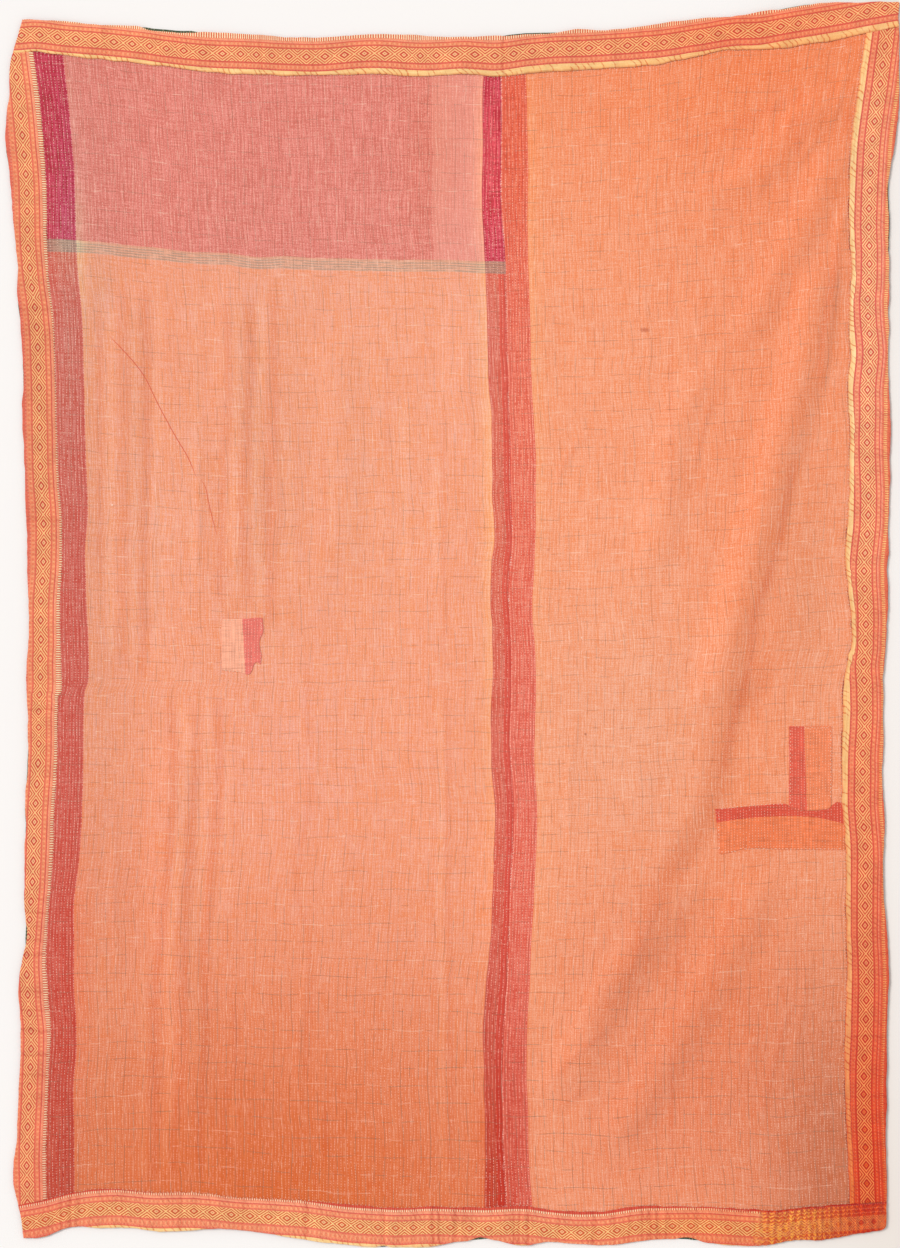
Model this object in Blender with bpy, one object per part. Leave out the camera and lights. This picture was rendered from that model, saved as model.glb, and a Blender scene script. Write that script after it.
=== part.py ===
"""A vintage kantha quilt, laid out face up with its soft folds still in it.

A kantha quilt is a stack of old sari cloth held together by running stitches. Here the stack has three levels:
a backing, two panels side by side on it, and on those the four border strips and three mending patches.

X runs across the quilt, Y up it to its top edge, and Z out of its face. The origin is under the middle of the
quilt, on the surface that it lies on. Lengths in the tables are millimetres.
"""

from collections import namedtuple

import bmesh
import bpy
import numpy as np

MM = 0.001

CLOTH = 1.2  # thickness of each cloth of the stack
GAP = 0.3  # clearance between cloths that touch
LEVEL_RISE = CLOTH + GAP
BACKING_LEVEL, PANEL_LEVEL, TRIM_LEVEL = 0, 1, 2

BACKING_PROUD = 3.0  # the backing peeps out this far past the borders
COLUMN_STEP = 36.0  # widest spacing of the mesh across the quilt
ROW_STEP = 52.0  # and down it
SETTLING_ROUNDS = 8  # rounds that bring the crossings of slanting lines to rest
FOLD_FADE = 75.0  # length over which a fold dies out at each end

DownLine = namedtuple("DownLine", "y left_edge left_border seam right_border right_edge")
# Where the lines that run down the quilt lie, from its top edge to its bottom one.
DOWN_LINES = [
    DownLine(1150, -785, -780, 92, 770, 828),
    DownLine(1045, -817, -772, 92, 758, 828),
    DownLine(970, -820, -762, 92, 748, 828),
    DownLine(895, -827, -755, 92, 739, 820),
    DownLine(820, -817, -750, 92, 733, 809),
    DownLine(675, -804, -746, 99, 737, 809),
    DownLine(525, -796, -734, 103, 736, 808),
    DownLine(380, -793, -730, 108, 736, 811),
    DownLine(230, -789, -723, 111, 733, 809),
    DownLine(80, -783, -722, 107, 731, 806),
    DownLine(-65, -785, -723, 110, 735, 800),
    DownLine(-140, -785, -728, 109, 724, 798),
    DownLine(-215, -783, -728, 108, 721, 798),
    DownLine(-360, -789, -735, 114, 723, 800),
    DownLine(-510, -789, -744, 108, 728, 800),
    DownLine(-585, -790, -748, 106, 728, 806),
    DownLine(-660, -800, -746, 102, 730, 808),
    DownLine(-805, -798, -744, 95, 727, 804),
    DownLine(-955, -804, -748, 96, 730, 804),
    DownLine(-1030, -811, -748, 99, 733, 804),
    DownLine(-1100, -798, -748, 101, 735, 804),
    DownLine(-1150, -792, -748, 102, 736, 800),
]

CrossLine = namedtuple("CrossLine", "x top_edge top_border bottom_border bottom_edge")
# Where the lines that run across the quilt lie, from its left edge to its right one.
CROSS_LINES = [
    CrossLine(-825, 1117, 1063, -1076, -1135),
    CrossLine(-760, 1118, 1057, -1065, -1133),
    CrossLine(-706, 1115, 1051, -1052, -1115),
    CrossLine(-595, 1107, 1039, -1046, -1116),
    CrossLine(-484, 1098, 1026, -1050, -1120),
    CrossLine(-373, 1091, 1018, -1061, -1122),
    CrossLine(-262, 1085, 1015, -1067, -1139),
    CrossLine(-151, 1091, 1017, -1076, -1150),
    CrossLine(-40, 1087, 1013, -1076, -1150),
    CrossLine(71, 1087, 1013, -1078, -1137),
    CrossLine(182, 1096, 1021, -1081, -1142),
    CrossLine(293, 1100, 1030, -1083, -1147),
    CrossLine(404, 1113, 1040, -1076, -1135),
    CrossLine(515, 1124, 1061, -1079, -1149),
    CrossLine(626, 1142, 1068, -1079, -1139),
    CrossLine(737, 1150, 1087, -1070, -1129),
    CrossLine(828, 1151, 1106, -1067, -1116),
]

# Edges of the patches. Mesh lines run along them, straight across or down the whole quilt.
LEFT_PATCH = {"left": -426, "right": -349, "top": 12, "bottom": -90}
UPPER_PATCH = {"left": 624, "right": 704, "top": -190}
LOWER_PATCH = {"left": 489, "top": -338, "bottom": -421}

Fold = namedtuple("Fold", "name half_width height path")
# Each fold is a soft ridge along a path of (x, y) points, listed downwards.
FOLDS = [
    Fold("long fold at the right", 62, 13, [(684, 690), (656, 508), (611, 341), (547, 101), (510, -29), (480, -180)]),
    Fold("fold beside it", 58, 6, [(470, 500), (415, 341), (386, 193), (355, 60)]),
    Fold("upper wrinkle from the corner", 55, 7, [(722, 1010), (645, 925), (571, 845), (470, 760)]),
    Fold("lower wrinkle from the corner", 52, 7, [(720, 900), (672, 785), (598, 637), (530, 500)]),
    Fold("slanting fold, low at the seam", 60, 8, [(441, -436), (376, -565), (302, -676), (182, -898)]),
    Fold("slanting fold, low at the right", 60, 8, [(585, -440), (524, -584), (460, -695), (290, -985)]),
    Fold("upright fold, high at the left", 60, 6, [(-598, 640), (-606, 415), (-595, 193), (-586, -40)]),
    Fold("upright fold above the patch", 58, 5, [(-410, 650), (-399, 415), (-380, 240), (-388, 70)]),
    Fold("upright fold, low at the left", 60, 6, [(-508, -190), (-517, -436), (-502, -658), (-470, -930)]),
    Fold("upright fold in the middle", 60, 4, [(-214, 560), (-205, 300), (-215, 60)]),
]


def smooth_curve(known_at, known, at):
    """A smooth curve through known points, read at other places along it."""
    order = np.argsort(known_at)
    places = np.asarray(known_at, float)[order]
    values = np.asarray(known, float)[order]
    slopes = np.gradient(values, places)
    at = np.clip(at, places[0], places[-1])
    span = np.clip(np.searchsorted(places, at) - 1, 0, len(places) - 2)
    length = places[span + 1] - places[span]
    t = (at - places[span]) / length
    rise = values[span + 1] - values[span]
    start_bow = slopes[span] * length - rise
    end_bow = rise - slopes[span + 1] * length
    return values[span] + rise * t + t * (1 - t) * (start_bow * (1 - t) + end_bow * t)


def down_line(name):
    """x of a line that runs down the quilt, as a function of y."""
    heights = [row.y for row in DOWN_LINES]
    places = [getattr(row, name) for row in DOWN_LINES]
    return lambda y: smooth_curve(heights, places, y)


def cross_line(name):
    """y of a line that runs across the quilt, as a function of x."""
    places = [row.x for row in CROSS_LINES]
    heights = [getattr(row, name) for row in CROSS_LINES]
    return lambda x: smooth_curve(places, heights, x)


def straight_line(place):
    return lambda along: np.full_like(along, place)


def moved(line, distance):
    return lambda along: line(along) + distance


def blended(first, second, share):
    return lambda along: (1 - share) * first(along) + share * second(along)


def fill_in(named_lines, step):
    """All lines in order, with even ones between the named lines, and the place of each named line among them."""
    lines = []
    places = {}
    named = list(named_lines.items())
    for (name, line), (_, following) in zip(named, named[1:]):
        places[name] = len(lines)
        width = abs(float(np.mean(following(np.zeros(1)) - line(np.zeros(1)))))
        pieces = max(1, round(width / step + 0.3))
        lines += [blended(line, following, i / pieces) for i in range(pieces)]
    places[named[-1][0]] = len(lines)
    lines.append(named[-1][1])
    return lines, places


def quilt_lines():
    """The named lines down and across the quilt, from left to right and from top to bottom."""
    down = {
        "backing_left": down_line("left_edge"),
        "left_edge": moved(down_line("left_edge"), BACKING_PROUD),
        "left_border": down_line("left_border"),
        "left_patch_left": straight_line(LEFT_PATCH["left"]),
        "left_patch_right": straight_line(LEFT_PATCH["right"]),
        "seam": down_line("seam"),
        "lower_patch_left": straight_line(LOWER_PATCH["left"]),
        "upper_patch_left": straight_line(UPPER_PATCH["left"]),
        "upper_patch_right": straight_line(UPPER_PATCH["right"]),
        "right_border": down_line("right_border"),
        "right_edge": moved(down_line("right_edge"), -BACKING_PROUD),
        "backing_right": down_line("right_edge"),
    }
    across = {
        "backing_top": cross_line("top_edge"),
        "top_edge": moved(cross_line("top_edge"), -BACKING_PROUD),
        "top_border": cross_line("top_border"),
        "left_patch_top": straight_line(LEFT_PATCH["top"]),
        "left_patch_bottom": straight_line(LEFT_PATCH["bottom"]),
        "upper_patch_top": straight_line(UPPER_PATCH["top"]),
        "lower_patch_top": straight_line(LOWER_PATCH["top"]),
        "lower_patch_bottom": straight_line(LOWER_PATCH["bottom"]),
        "bottom_border": cross_line("bottom_border"),
        "bottom_edge": moved(cross_line("bottom_edge"), BACKING_PROUD),
        "backing_bottom": cross_line("bottom_edge"),
    }
    return down, across


def crossings(down, across):
    """x and y where each line down the quilt meets each line across it: a row of points for each line across."""
    x = np.zeros((len(across), len(down)))
    y = np.zeros_like(x)
    for _ in range(SETTLING_ROUNDS):
        for row, line in enumerate(across):
            y[row] = line(x[row])
        for column, line in enumerate(down):
            x[:, column] = line(y[:, column])
    return x, y


def fold_height(x, y):
    """How far the folds lift the cloth off the surface. It is exactly zero where the quilt lies flat."""
    height = np.zeros_like(x)
    for fold in FOLDS:
        path_x = [point[0] for point in fold.path]
        path_y = [point[1] for point in fold.path]
        lean = smooth_curve(path_y, np.gradient(path_x, path_y), y)
        aside = (x - smooth_curve(path_y, path_x, y)) / np.hypot(1, lean)
        across = np.clip(aside / fold.half_width, -1, 1)
        ends = np.minimum(path_y[0] - y, y - path_y[-1])
        along = np.clip(ends / FOLD_FADE, 0, 1)
        height += fold.height * np.cos(across * np.pi / 2) ** 2 * np.sin(along * np.pi / 2) ** 2
    return height


def cloth_material(name, colour, roughness):
    material = bpy.data.materials.new(name)
    material.use_nodes = True
    shader = material.node_tree.nodes["Principled BSDF"]
    shader.inputs["Base Color"].default_value = (*colour, 1)
    shader.inputs["Roughness"].default_value = roughness
    shader.inputs["Metallic"].default_value = 0
    return material


def add_cloth(name, x, y, lift, level, material):
    """One cloth of the stack as a closed solid: a net of points on its underside, raised by the cloth's thickness.
    Its edges are drawn in by half the clearance, so that it doesn't touch a neighbour on its own level."""
    x = x.copy()
    y = y.copy()
    x[:, 0] += GAP / 2
    x[:, -1] -= GAP / 2
    y[0] -= GAP / 2
    y[-1] += GAP / 2
    z = lift + level * LEVEL_RISE

    net = bmesh.new()
    points = [[net.verts.new(point) for point in row] for row in np.stack([x, y, z], axis=2) * MM]
    for upper, lower in zip(points, points[1:]):
        for column in range(len(upper) - 1):
            net.faces.new((upper[column], lower[column], upper[column + 1]))
            net.faces.new((upper[column + 1], lower[column], lower[column + 1]))
    raised = bmesh.ops.extrude_face_region(net, geom=list(net.faces))
    raised_points = [part for part in raised["geom"] if isinstance(part, bmesh.types.BMVert)]
    bmesh.ops.translate(net, verts=raised_points, vec=(0, 0, CLOTH * MM))
    bmesh.ops.recalc_face_normals(net, faces=list(net.faces))

    mesh = bpy.data.meshes.new(name)
    net.to_mesh(mesh)
    net.free()
    mesh.shade_smooth()
    mesh.set_sharp_from_angle(angle=np.radians(40))
    mesh.materials.append(material)
    cloth = bpy.data.objects.new(name, mesh)
    bpy.context.scene.collection.objects.link(cloth)


Piece = namedtuple("Piece", "name level left right top bottom colour roughness")
# Each piece reaches from one line down the quilt to another, and from one line across it to another.
# fmt: off
PIECES = [
    Piece("backing", BACKING_LEVEL, "backing_left", "backing_right", "backing_top", "backing_bottom",
          (0.03, 0.10, 0.05), 0.85),
    Piece("left_panel", PANEL_LEVEL, "left_edge", "seam", "top_edge", "bottom_edge", (0.82, 0.35, 0.20), 0.85),
    Piece("right_panel", PANEL_LEVEL, "seam", "right_edge", "top_edge", "bottom_edge", (0.83, 0.32, 0.16), 0.85),
    Piece("border_top", TRIM_LEVEL, "left_edge", "right_edge", "top_edge", "top_border", (0.83, 0.31, 0.16), 0.75),
    Piece("border_bottom", TRIM_LEVEL, "left_edge", "right_edge", "bottom_border", "bottom_edge",
          (0.81, 0.30, 0.12), 0.75),
    Piece("border_left", TRIM_LEVEL, "left_edge", "left_border", "top_border", "bottom_border",
          (0.78, 0.28, 0.15), 0.75),
    Piece("border_right", TRIM_LEVEL, "right_border", "right_edge", "top_border", "bottom_border",
          (0.80, 0.30, 0.17), 0.75),
    Piece("patch_left", TRIM_LEVEL, "left_patch_left", "left_patch_right", "left_patch_top", "left_patch_bottom",
          (0.85, 0.30, 0.20), 0.85),
    Piece("patch_right_upper", TRIM_LEVEL, "upper_patch_left", "upper_patch_right", "upper_patch_top",
          "lower_patch_top", (0.82, 0.24, 0.12), 0.85),
    Piece("patch_right_lower", TRIM_LEVEL, "lower_patch_left", "right_border", "lower_patch_top",
          "lower_patch_bottom", (0.83, 0.21, 0.10), 0.85),
]
# fmt: on


def main():
    for old in list(bpy.data.objects):
        bpy.data.objects.remove(old, do_unlink=True)
    named_down, named_across = quilt_lines()
    down, column_of = fill_in(named_down, COLUMN_STEP)
    across, row_of = fill_in(named_across, ROW_STEP)
    x, y = crossings(down, across)
    lift = fold_height(x, y)
    x -= (x.max() + x.min()) / 2
    y -= (y.max() + y.min()) / 2
    for piece in PIECES:
        rows = slice(row_of[piece.top], row_of[piece.bottom] + 1)
        columns = slice(column_of[piece.left], column_of[piece.right] + 1)
        net = (rows, columns)
        material = cloth_material(piece.name + "_cloth", piece.colour, piece.roughness)
        add_cloth(piece.name, x[net], y[net], lift[net], piece.level, material)


main()
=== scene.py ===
"""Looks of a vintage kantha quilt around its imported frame.

Each cloth of the quilt is a fine sheet that stands for its solid and lies on the same folds. Its colours,
woven stripes, checks and running stitches come from procedural materials, read in the cloth's own
coordinates, so that they follow the wandering threads. X runs across the quilt, Y up it and Z out of its
face. Lengths in the tables are millimetres, and the scene is in metres.
"""

from collections import namedtuple

import bpy
import numpy as np
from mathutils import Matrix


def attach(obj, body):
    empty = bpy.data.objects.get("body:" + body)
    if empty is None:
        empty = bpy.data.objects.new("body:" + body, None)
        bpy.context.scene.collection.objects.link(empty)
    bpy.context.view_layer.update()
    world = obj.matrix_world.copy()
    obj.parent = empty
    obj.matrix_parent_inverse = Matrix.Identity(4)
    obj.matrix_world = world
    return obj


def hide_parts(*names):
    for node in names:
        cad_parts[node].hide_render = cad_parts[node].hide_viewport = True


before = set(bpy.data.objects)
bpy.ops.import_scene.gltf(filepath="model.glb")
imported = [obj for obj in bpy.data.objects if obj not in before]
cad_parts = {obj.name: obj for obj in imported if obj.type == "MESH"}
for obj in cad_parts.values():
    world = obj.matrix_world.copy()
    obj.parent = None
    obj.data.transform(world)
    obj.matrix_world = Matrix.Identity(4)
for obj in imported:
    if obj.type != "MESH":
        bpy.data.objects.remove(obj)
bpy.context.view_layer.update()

MM = 0.001

# ---------------------------------------------------------------------------------------- the stack

CLOTH = 1.2  # thickness of each cloth on the face
BACKING_CLOTH = 1.0
LEVEL_RISE = 1.5  # from one cloth of the stack to the next
PANEL_LEVEL, TRIM_LEVEL = 1, 2  # how many levels of cloth lie below, where the backing lies at 0

PANEL_STEP_ACROSS = 3.6  # spacing of the mesh on the panels, whose creases run down
PANEL_STEP_DOWN = 6.8
BORDER_STEP = 2.6
PATCH_STEP = 2.5
BACKING_STEP = 14.0
EDGE_ROUNDING = 0.9  # width of the rounded rim of each cloth
SETTLING_ROUNDS = 6  # rounds that bring the crossings of slanting lines to rest
BORDER_WIDTH = 74.0  # full width of the woven border, of which some is turned under

# ---------------------------------------------------------------------------------------- the lines

# Lines that run down the quilt, as (y, x) from the top to the bottom.
# fmt: off
DOWN_LINES = {
    "left_edge": [
        (1150, -785), (1090, -800), (1040, -815), (970, -819), (896, -826), (822, -817), (748, -811),
        (674, -804), (600, -804), (526, -796), (452, -793), (378, -793), (304, -791), (230, -789),
        (156, -785), (82, -783), (8, -780), (-66, -785), (-140, -785), (-214, -783), (-288, -787),
        (-362, -789), (-436, -789), (-510, -789), (-584, -789), (-658, -800), (-732, -798), (-806, -798),
        (-880, -800), (-954, -804), (-1028, -811), (-1102, -796), (-1150, -792),
    ],
    "left_border": [
        (1150, -780), (1052, -772), (985, -763), (907, -756), (819, -750), (695, -748), (643, -745),
        (591, -739), (519, -734), (449, -732), (360, -730), (254, -726), (206, -722), (110, -721),
        (40, -724), (-66, -722), (-114, -720.5), (-124, -721), (-134, -727), (-146, -728), (-238, -729),
        (-334, -734), (-458, -739), (-571, -748), (-600, -750), (-687, -746), (-758, -741), (-828, -745),
        (-917, -748), (-987, -750), (-1063, -748), (-1150, -748),
    ],
    "left_stripe": [
        (1150, -722), (1050, -717), (1007, -713), (926, -704), (854, -698), (783, -695), (709, -693),
        (637, -689), (556, -682), (467, -680), (360, -678), (254, -674), (199, -672), (145, -676),
        (82, -676), (21, -674), (-49, -671), (-98, -671), (-108, -671.5), (-122, -677), (-136, -678),
        (-228, -680), (-317, -682), (-441, -689), (-512, -698), (-600, -698), (-669, -698), (-741, -693),
        (-793, -693), (-846, -698), (-952, -697), (-1044, -697), (-1150, -697),
    ],
    "middle_stripe": [
        (1150, 60), (1013, 60), (943, 58), (837, 58), (767, 56), (682, 62), (643, 64), (587, 66),
        (502, 68), (449, 68), (378, 73), (308, 75), (232, 77), (188, 79), (110, 75), (40, 73), (-31, 75),
        (-138, 75), (-228, 73), (-264, 75), (-310, 80), (-388, 80), (-458, 75), (-512, 75), (-593, 71),
        (-663, 64), (-741, 60), (-846, 60), (-952, 62), (-1072, 62), (-1150, 62),
    ],
    "seam": [
        (1150, 92), (1013, 92), (943, 93), (837, 92), (762, 93), (706, 98), (643, 101), (519, 103),
        (410, 106), (343, 109), (273, 110), (164, 112), (47, 106), (-49, 110), (-130, 110), (-228, 108),
        (-291, 114), (-415, 114), (-493, 108), (-600, 106), (-691, 101), (-811, 95), (-935, 95),
        (-1059, 101), (-1150, 102),
    ],
    "right_stripe": [
        (1150, 138), (1013, 138), (943, 140), (837, 142), (748, 140), (682, 142), (643, 143), (537, 147),
        (467, 147), (378, 153), (328, 156), (223, 156), (180, 156), (93, 153), (21, 149), (-38, 154),
        (-103, 156), (-190, 154), (-245, 153), (-317, 158), (-388, 158), (-476, 153), (-565, 149),
        (-652, 145), (-758, 140), (-917, 142), (-1024, 145), (-1072, 149), (-1150, 150),
    ],
    "right_border": [
        (1150, 772), (1096, 765), (1031, 756), (961, 746), (889, 737), (819, 734), (730, 734), (680, 737),
        (626, 737), (600, 734), (556, 734), (502, 737), (432, 732), (378, 735), (300, 735), (240, 734),
        (180, 730), (129, 726), (82, 730), (40, 735), (-10, 738), (-42, 737), (-78, 728), (-118, 723),
        (-173, 722), (-230, 721), (-282, 721), (-325, 721), (-423, 728), (-493, 728), (-547, 728),
        (-671, 730), (-741, 726), (-846, 726), (-917, 728), (-989, 732), (-1070, 735), (-1150, 737),
    ],
    "right_edge": [
        (1150, 827), (1045, 828), (970, 828), (896, 820), (822, 809), (748, 811), (674, 809), (600, 809),
        (526, 808), (452, 809), (378, 811), (304, 811), (230, 809), (156, 808), (82, 806), (8, 806),
        (-66, 800), (-140, 798), (-214, 798), (-288, 796), (-362, 800), (-436, 798), (-510, 800),
        (-584, 806), (-658, 808), (-732, 804), (-806, 804), (-880, 804), (-954, 804), (-1028, 804),
        (-1102, 804), (-1110, 803.5), (-1115, 802), (-1120, 798), (-1124, 792), (-1150, 740),
    ],
}
# Lines that run across the quilt, as (x, y) from the left to the right.
ACROSS_LINES = {
    "top_edge": [
        (-825, 1117), (-761, 1118), (-706, 1115), (-650, 1109), (-595, 1107), (-539, 1102), (-484, 1098),
        (-428, 1094), (-373, 1091), (-317, 1087), (-262, 1085), (-206, 1089), (-151, 1091), (-95, 1091),
        (-40, 1087), (16, 1087), (71, 1087), (127, 1092), (182, 1096), (238, 1100), (293, 1100),
        (349, 1105), (404, 1113), (460, 1120), (515, 1124), (571, 1133), (626, 1142), (682, 1148),
        (737, 1150), (793, 1151), (828, 1151),
    ],
    "top_border": [
        (-825, 1056), (-800, 1056), (-772, 1058), (-719, 1052), (-623, 1042), (-517, 1030), (-410, 1018),
        (-280, 1015), (-140, 1017), (-51, 1013), (21, 1017), (84, 1013), (145, 1018), (216, 1024),
        (275, 1028), (380, 1035), (452, 1050), (523, 1063), (576, 1063), (663, 1072), (763, 1092),
        (828, 1104),
    ],
    "bottom_border": [
        (-825, -1078), (-796, -1072), (-750, -1063), (-697, -1050), (-623, -1044), (-552, -1050),
        (-482, -1050), (-393, -1059), (-280, -1065), (-175, -1074), (-103, -1078), (-32, -1076),
        (56, -1078), (145, -1076), (180, -1081), (275, -1085), (345, -1076), (417, -1076), (558, -1081),
        (593, -1083), (663, -1076), (752, -1070), (802, -1067), (828, -1067),
    ],
    "bottom_edge": [
        (-825, -1136), (-761, -1133), (-706, -1115), (-650, -1115), (-595, -1116), (-539, -1122),
        (-484, -1120), (-428, -1116), (-373, -1122), (-317, -1129), (-262, -1139), (-206, -1144),
        (-151, -1150), (-95, -1151), (-40, -1150), (16, -1141), (71, -1137), (127, -1148), (182, -1142),
        (238, -1146), (293, -1146), (349, -1139), (404, -1135), (460, -1141), (515, -1148), (571, -1148),
        (626, -1139), (682, -1137), (737, -1129), (788, -1122), (794, -1121), (799, -1118), (803, -1113),
        (806, -1106), (828, -1050),
    ],
}
# How far the weft threads sag below a level line: a row for each height, down the panel.
LEFT_SAG = ([-790, -740, -600, -520, -430, -300, -100, 92],
            [(1050, (0, 0, -12, -24, -36, -40, -41, -44)), (700, (0, 0, -12, -20, -27, -35, -39, -43)),
             (320, (0, 0, -9, -14, -17, -19, -18, -18)), (0, (0, 0, -4, -6, -8, -9, -7, -5)),
             (-600, (0, 0, 2, 2, 0, -2, -4, -6)), (-1060, (-8, -2, 8, 8, 2, -8, -16, -16))])
RIGHT_SAG = ([92, 200, 300, 400, 500, 600, 700, 770],
             [(1050, (0, 8, 16, 25, 44, 50, 62, 76)), (700, (0, 5, 9, 15, 22, 30, 40, 47)),
              (250, (0, 2, 4, 8, 14, 22, 31, 37)), (-100, (0, 2, 4, 7, 10, 15, 22, 26)),
              (-600, (0, 1, 2, 4, 6, 9, 12, 14)), (-1070, (0, -4, -7, 0, 0, -6, 0, 6))])
# fmt: on

# Places where the dark backing peeps out past a border, as (first, last, width) along each side.
PEEPS = {
    "left": [
        (830, 900, 1.8), (640, 690, 1.4), (550, 610, 2.0), (420, 505, 1.8), (210, 350, 1.4),
        (-305, -215, 2.0), (-405, -320, 1.8), (-602, -545, 3.0),
    ],
    "right": [(675, 830, 2.2)],
    "top": [(-580, -462, 4.5), (85, 205, 2.6), (590, 680, 2.0)],
    "bottom": [(-142, -112, 3.5), (30, 72, 4.5), (412, 462, 4.0)],
}

# ------------------------------------------------------------------------------- the border's weave

DIAMOND_PITCH = 34.2  # from one woven diamond to the next on flat cloth
GOLD_WIDTH = 10.2  # of the gold band along one side of the weave
# Where the diamonds lie along each strip, as (place along it, number of the diamond).
# fmt: off
DIAMONDS = {
    "left": [
        (-1090, -21.6), (-965, -18), (-818, -14), (-684, -10), (-611, -8), (-512, -5), (-400, -2),
        (-295, 1), (-220, 3), (-161, 5), (-97, 7), (8, 10), (116, 13), (256, 17), (364, 20), (475, 23),
        (586, 26), (695, 29), (832, 33), (940, 36), (1090, 40.2),
    ],
    "top": [
        (-828, -4), (-694, 0), (-590, 3), (-495, 6), (-390, 9), (-332, 11), (-234, 14), (-161, 16),
        (-88, 18), (-28, 20), (80, 23), (218, 27), (325, 30), (426, 33), (528, 36), (608, 38), (702, 41),
        (828, 44.8),
    ],
    "right": [
        (-1090, -3.7), (-966, 0), (-835, 4), (-694, 8), (-556, 12), (-410, 16), (-272, 20), (-138, 24),
        (0, 28), (132, 32), (272, 36), (400, 40), (537, 44), (666, 48), (802, 52), (930, 56), (1034, 59),
        (1150, 62.3),
    ],
    "bottom": [
        (-828, -10.3), (-784, -9), (-649, -5), (-476, 0), (-304, 5), (-169, 9), (-37, 13), (103, 17),
        (238, 21), (374, 25), (546, 30), (617, 32), (671, 34), (757, 38), (828, 41),
    ],
}
# How far the woven pattern lies outwards from its usual place, as (place along the strip, distance).
DRIFTS = {
    "left": [
        (-1090, 3), (-960, 2), (-820, 1), (-700, 4), (-560, 1), (-420, 2), (-200, 1), (-150, 0.8),
        (-138, 1), (-124, 6.3), (-112, 6.3), (-80, 5.5), (-40, 3), (0, 2.5), (100, 0.5), (260, -1),
        (600, -1), (700, 1.5), (850, 3.5), (950, 4.5), (1090, 4.5),
    ],
    "top": [
        (-828, -5), (-710, -4.3), (-590, -2.3), (-470, -3.3), (-410, 0.2), (-230, -2.3), (-170, 1.2),
        (-110, 2.2), (10, 0.2), (70, 0.7), (130, 3.2), (190, 4.2), (250, 1.7), (370, 2.7), (430, -0.8),
        (490, -3.3), (550, -2.8), (610, 2.7), (670, 5.2), (730, 3.7), (828, 3),
    ],
    "right": [
        (-1090, -3), (-970, -3), (-850, -1.5), (-760, 2), (-640, -1), (-430, 0), (-250, 2), (-110, 2),
        (-67, -6), (-33, -10), (0, -9.5), (36, -7.5), (100, -3), (132, 1), (170, 2), (290, -2.5),
        (350, -4.5), (410, -1), (530, 0.5), (650, -3), (710, -1), (890, 3.5), (1000, 3.5), (1150, 3),
    ],
    "bottom": [
        (-828, 1), (-722, 1), (-600, -0.6), (-476, -1.7), (-301, -2), (-198, 2), (-40, 2), (100, 3.4),
        (238, 3.4), (374, 2.3), (438, -0.2), (546, 1), (828, 0),
    ],
}
# The distance on the weave from its gold band's edge, for distances outwards from a strip's inner edge.
WEAVE_ACROSS = {
    "left": ([-12, 0, 18.5, 33, 47, 57, 63, 90], [71, 69, 52, 37, 22, 12.4, 11, 10.3]),
    "bottom": ([-12, 0, 22, 35, 50, 63.5, 67, 73, 82], [71, 70, 51.5, 37, 22, 12, 9.7, 4.5, 1.0]),
    # The right strip shows the dark hem colour along its inner edge: a dark seam line with painted shade
    # under the hem.
    "right": ([-12, 0, 0.9, 1.8, 62, 79, 90], [0, 0, 0.3, 1.8, 62, 73, 74]),
    "top": ([-12, 0, 1, 74, 90], [0.9, 0.9, 1.4, 74, 74]),
}
# Sharp tucks across the strips: place along it and strength.
TUCKS = {
    "left": [
        (-872, 0.5), (-833, 0.8), (-796, 0.9), (-750, 1.0), (-711, 0.7), (-677, 0.6), (-610, 1.0),
        (-585, 0.8), (-562, 0.6), (-533, 0.9), (-507, 0.6), (-157, 0.8), (193, 0.8), (584, 0.5),
        (735, 0.4),
    ],
    "top": [
        (-640, 0.4), (-352, 0.5), (-258, 0.3), (95, 0.9), (305, 0.4), (352, 0.5),
    ],
    "right": [
        (-960, 0.4), (-872, 0.5), (-762, 0.6), (-610, 0.8), (-575, 0.4), (20, 0.4), (310, 0.3), (840, 0.4),
    ],
    "bottom": [
        (-722, 0.6), (-704, 1.0), (-690, 0.6), (-606, 0.4), (-500, 0.7), (-473, 0.4), (-385, 0.5),
        (-270, 0.8), (-127, 0.6), (-69, 0.5), (-35, 1.0), (-24, 0.8), (5, 1.0), (23, 0.6), (114, 0.7),
        (125, 0.8), (140, 0.9), (196, 0.5), (262, 0.8), (300, 0.5), (330, 0.6), (352, 0.7), (367, 0.8),
        (381, 0.7), (398, 0.6), (452, 0.4), (512, 0.5),
    ],
}
# fmt: on
PLEATS_FROM = 556  # where the close pleats of the bottom border begin
PLEAT_PITCH = 14.6

# ---------------------------------------------------------------------------------------- the folds

# Broad soft ridges, the same as the frame's: half width, height, and a path of (x, y) points that is
# listed downwards.
FOLDS = [
    (62, 13, [(684, 690), (656, 508), (611, 341), (547, 101), (510, -29), (480, -180)]),
    (58, 6, [(470, 500), (415, 341), (386, 193), (355, 60)]),
    (55, 7, [(722, 1010), (645, 925), (571, 845), (470, 760)]),
    (52, 7, [(720, 900), (672, 785), (598, 637), (530, 500)]),
    (60, 8, [(441, -436), (376, -565), (302, -676), (182, -898)]),
    (60, 8, [(585, -440), (524, -584), (460, -695), (290, -985)]),
    (60, 6, [(-598, 640), (-606, 415), (-595, 193), (-586, -40)]),
    (58, 5, [(-410, 650), (-399, 415), (-380, 240), (-388, 70)]),
    (60, 6, [(-508, -190), (-517, -436), (-502, -658), (-470, -930)]),
    (60, 4, [(-214, 560), (-205, 300), (-215, 60)]),
]
FOLD_FADE = 75.0  # length over which a fold dies out at each end

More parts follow.
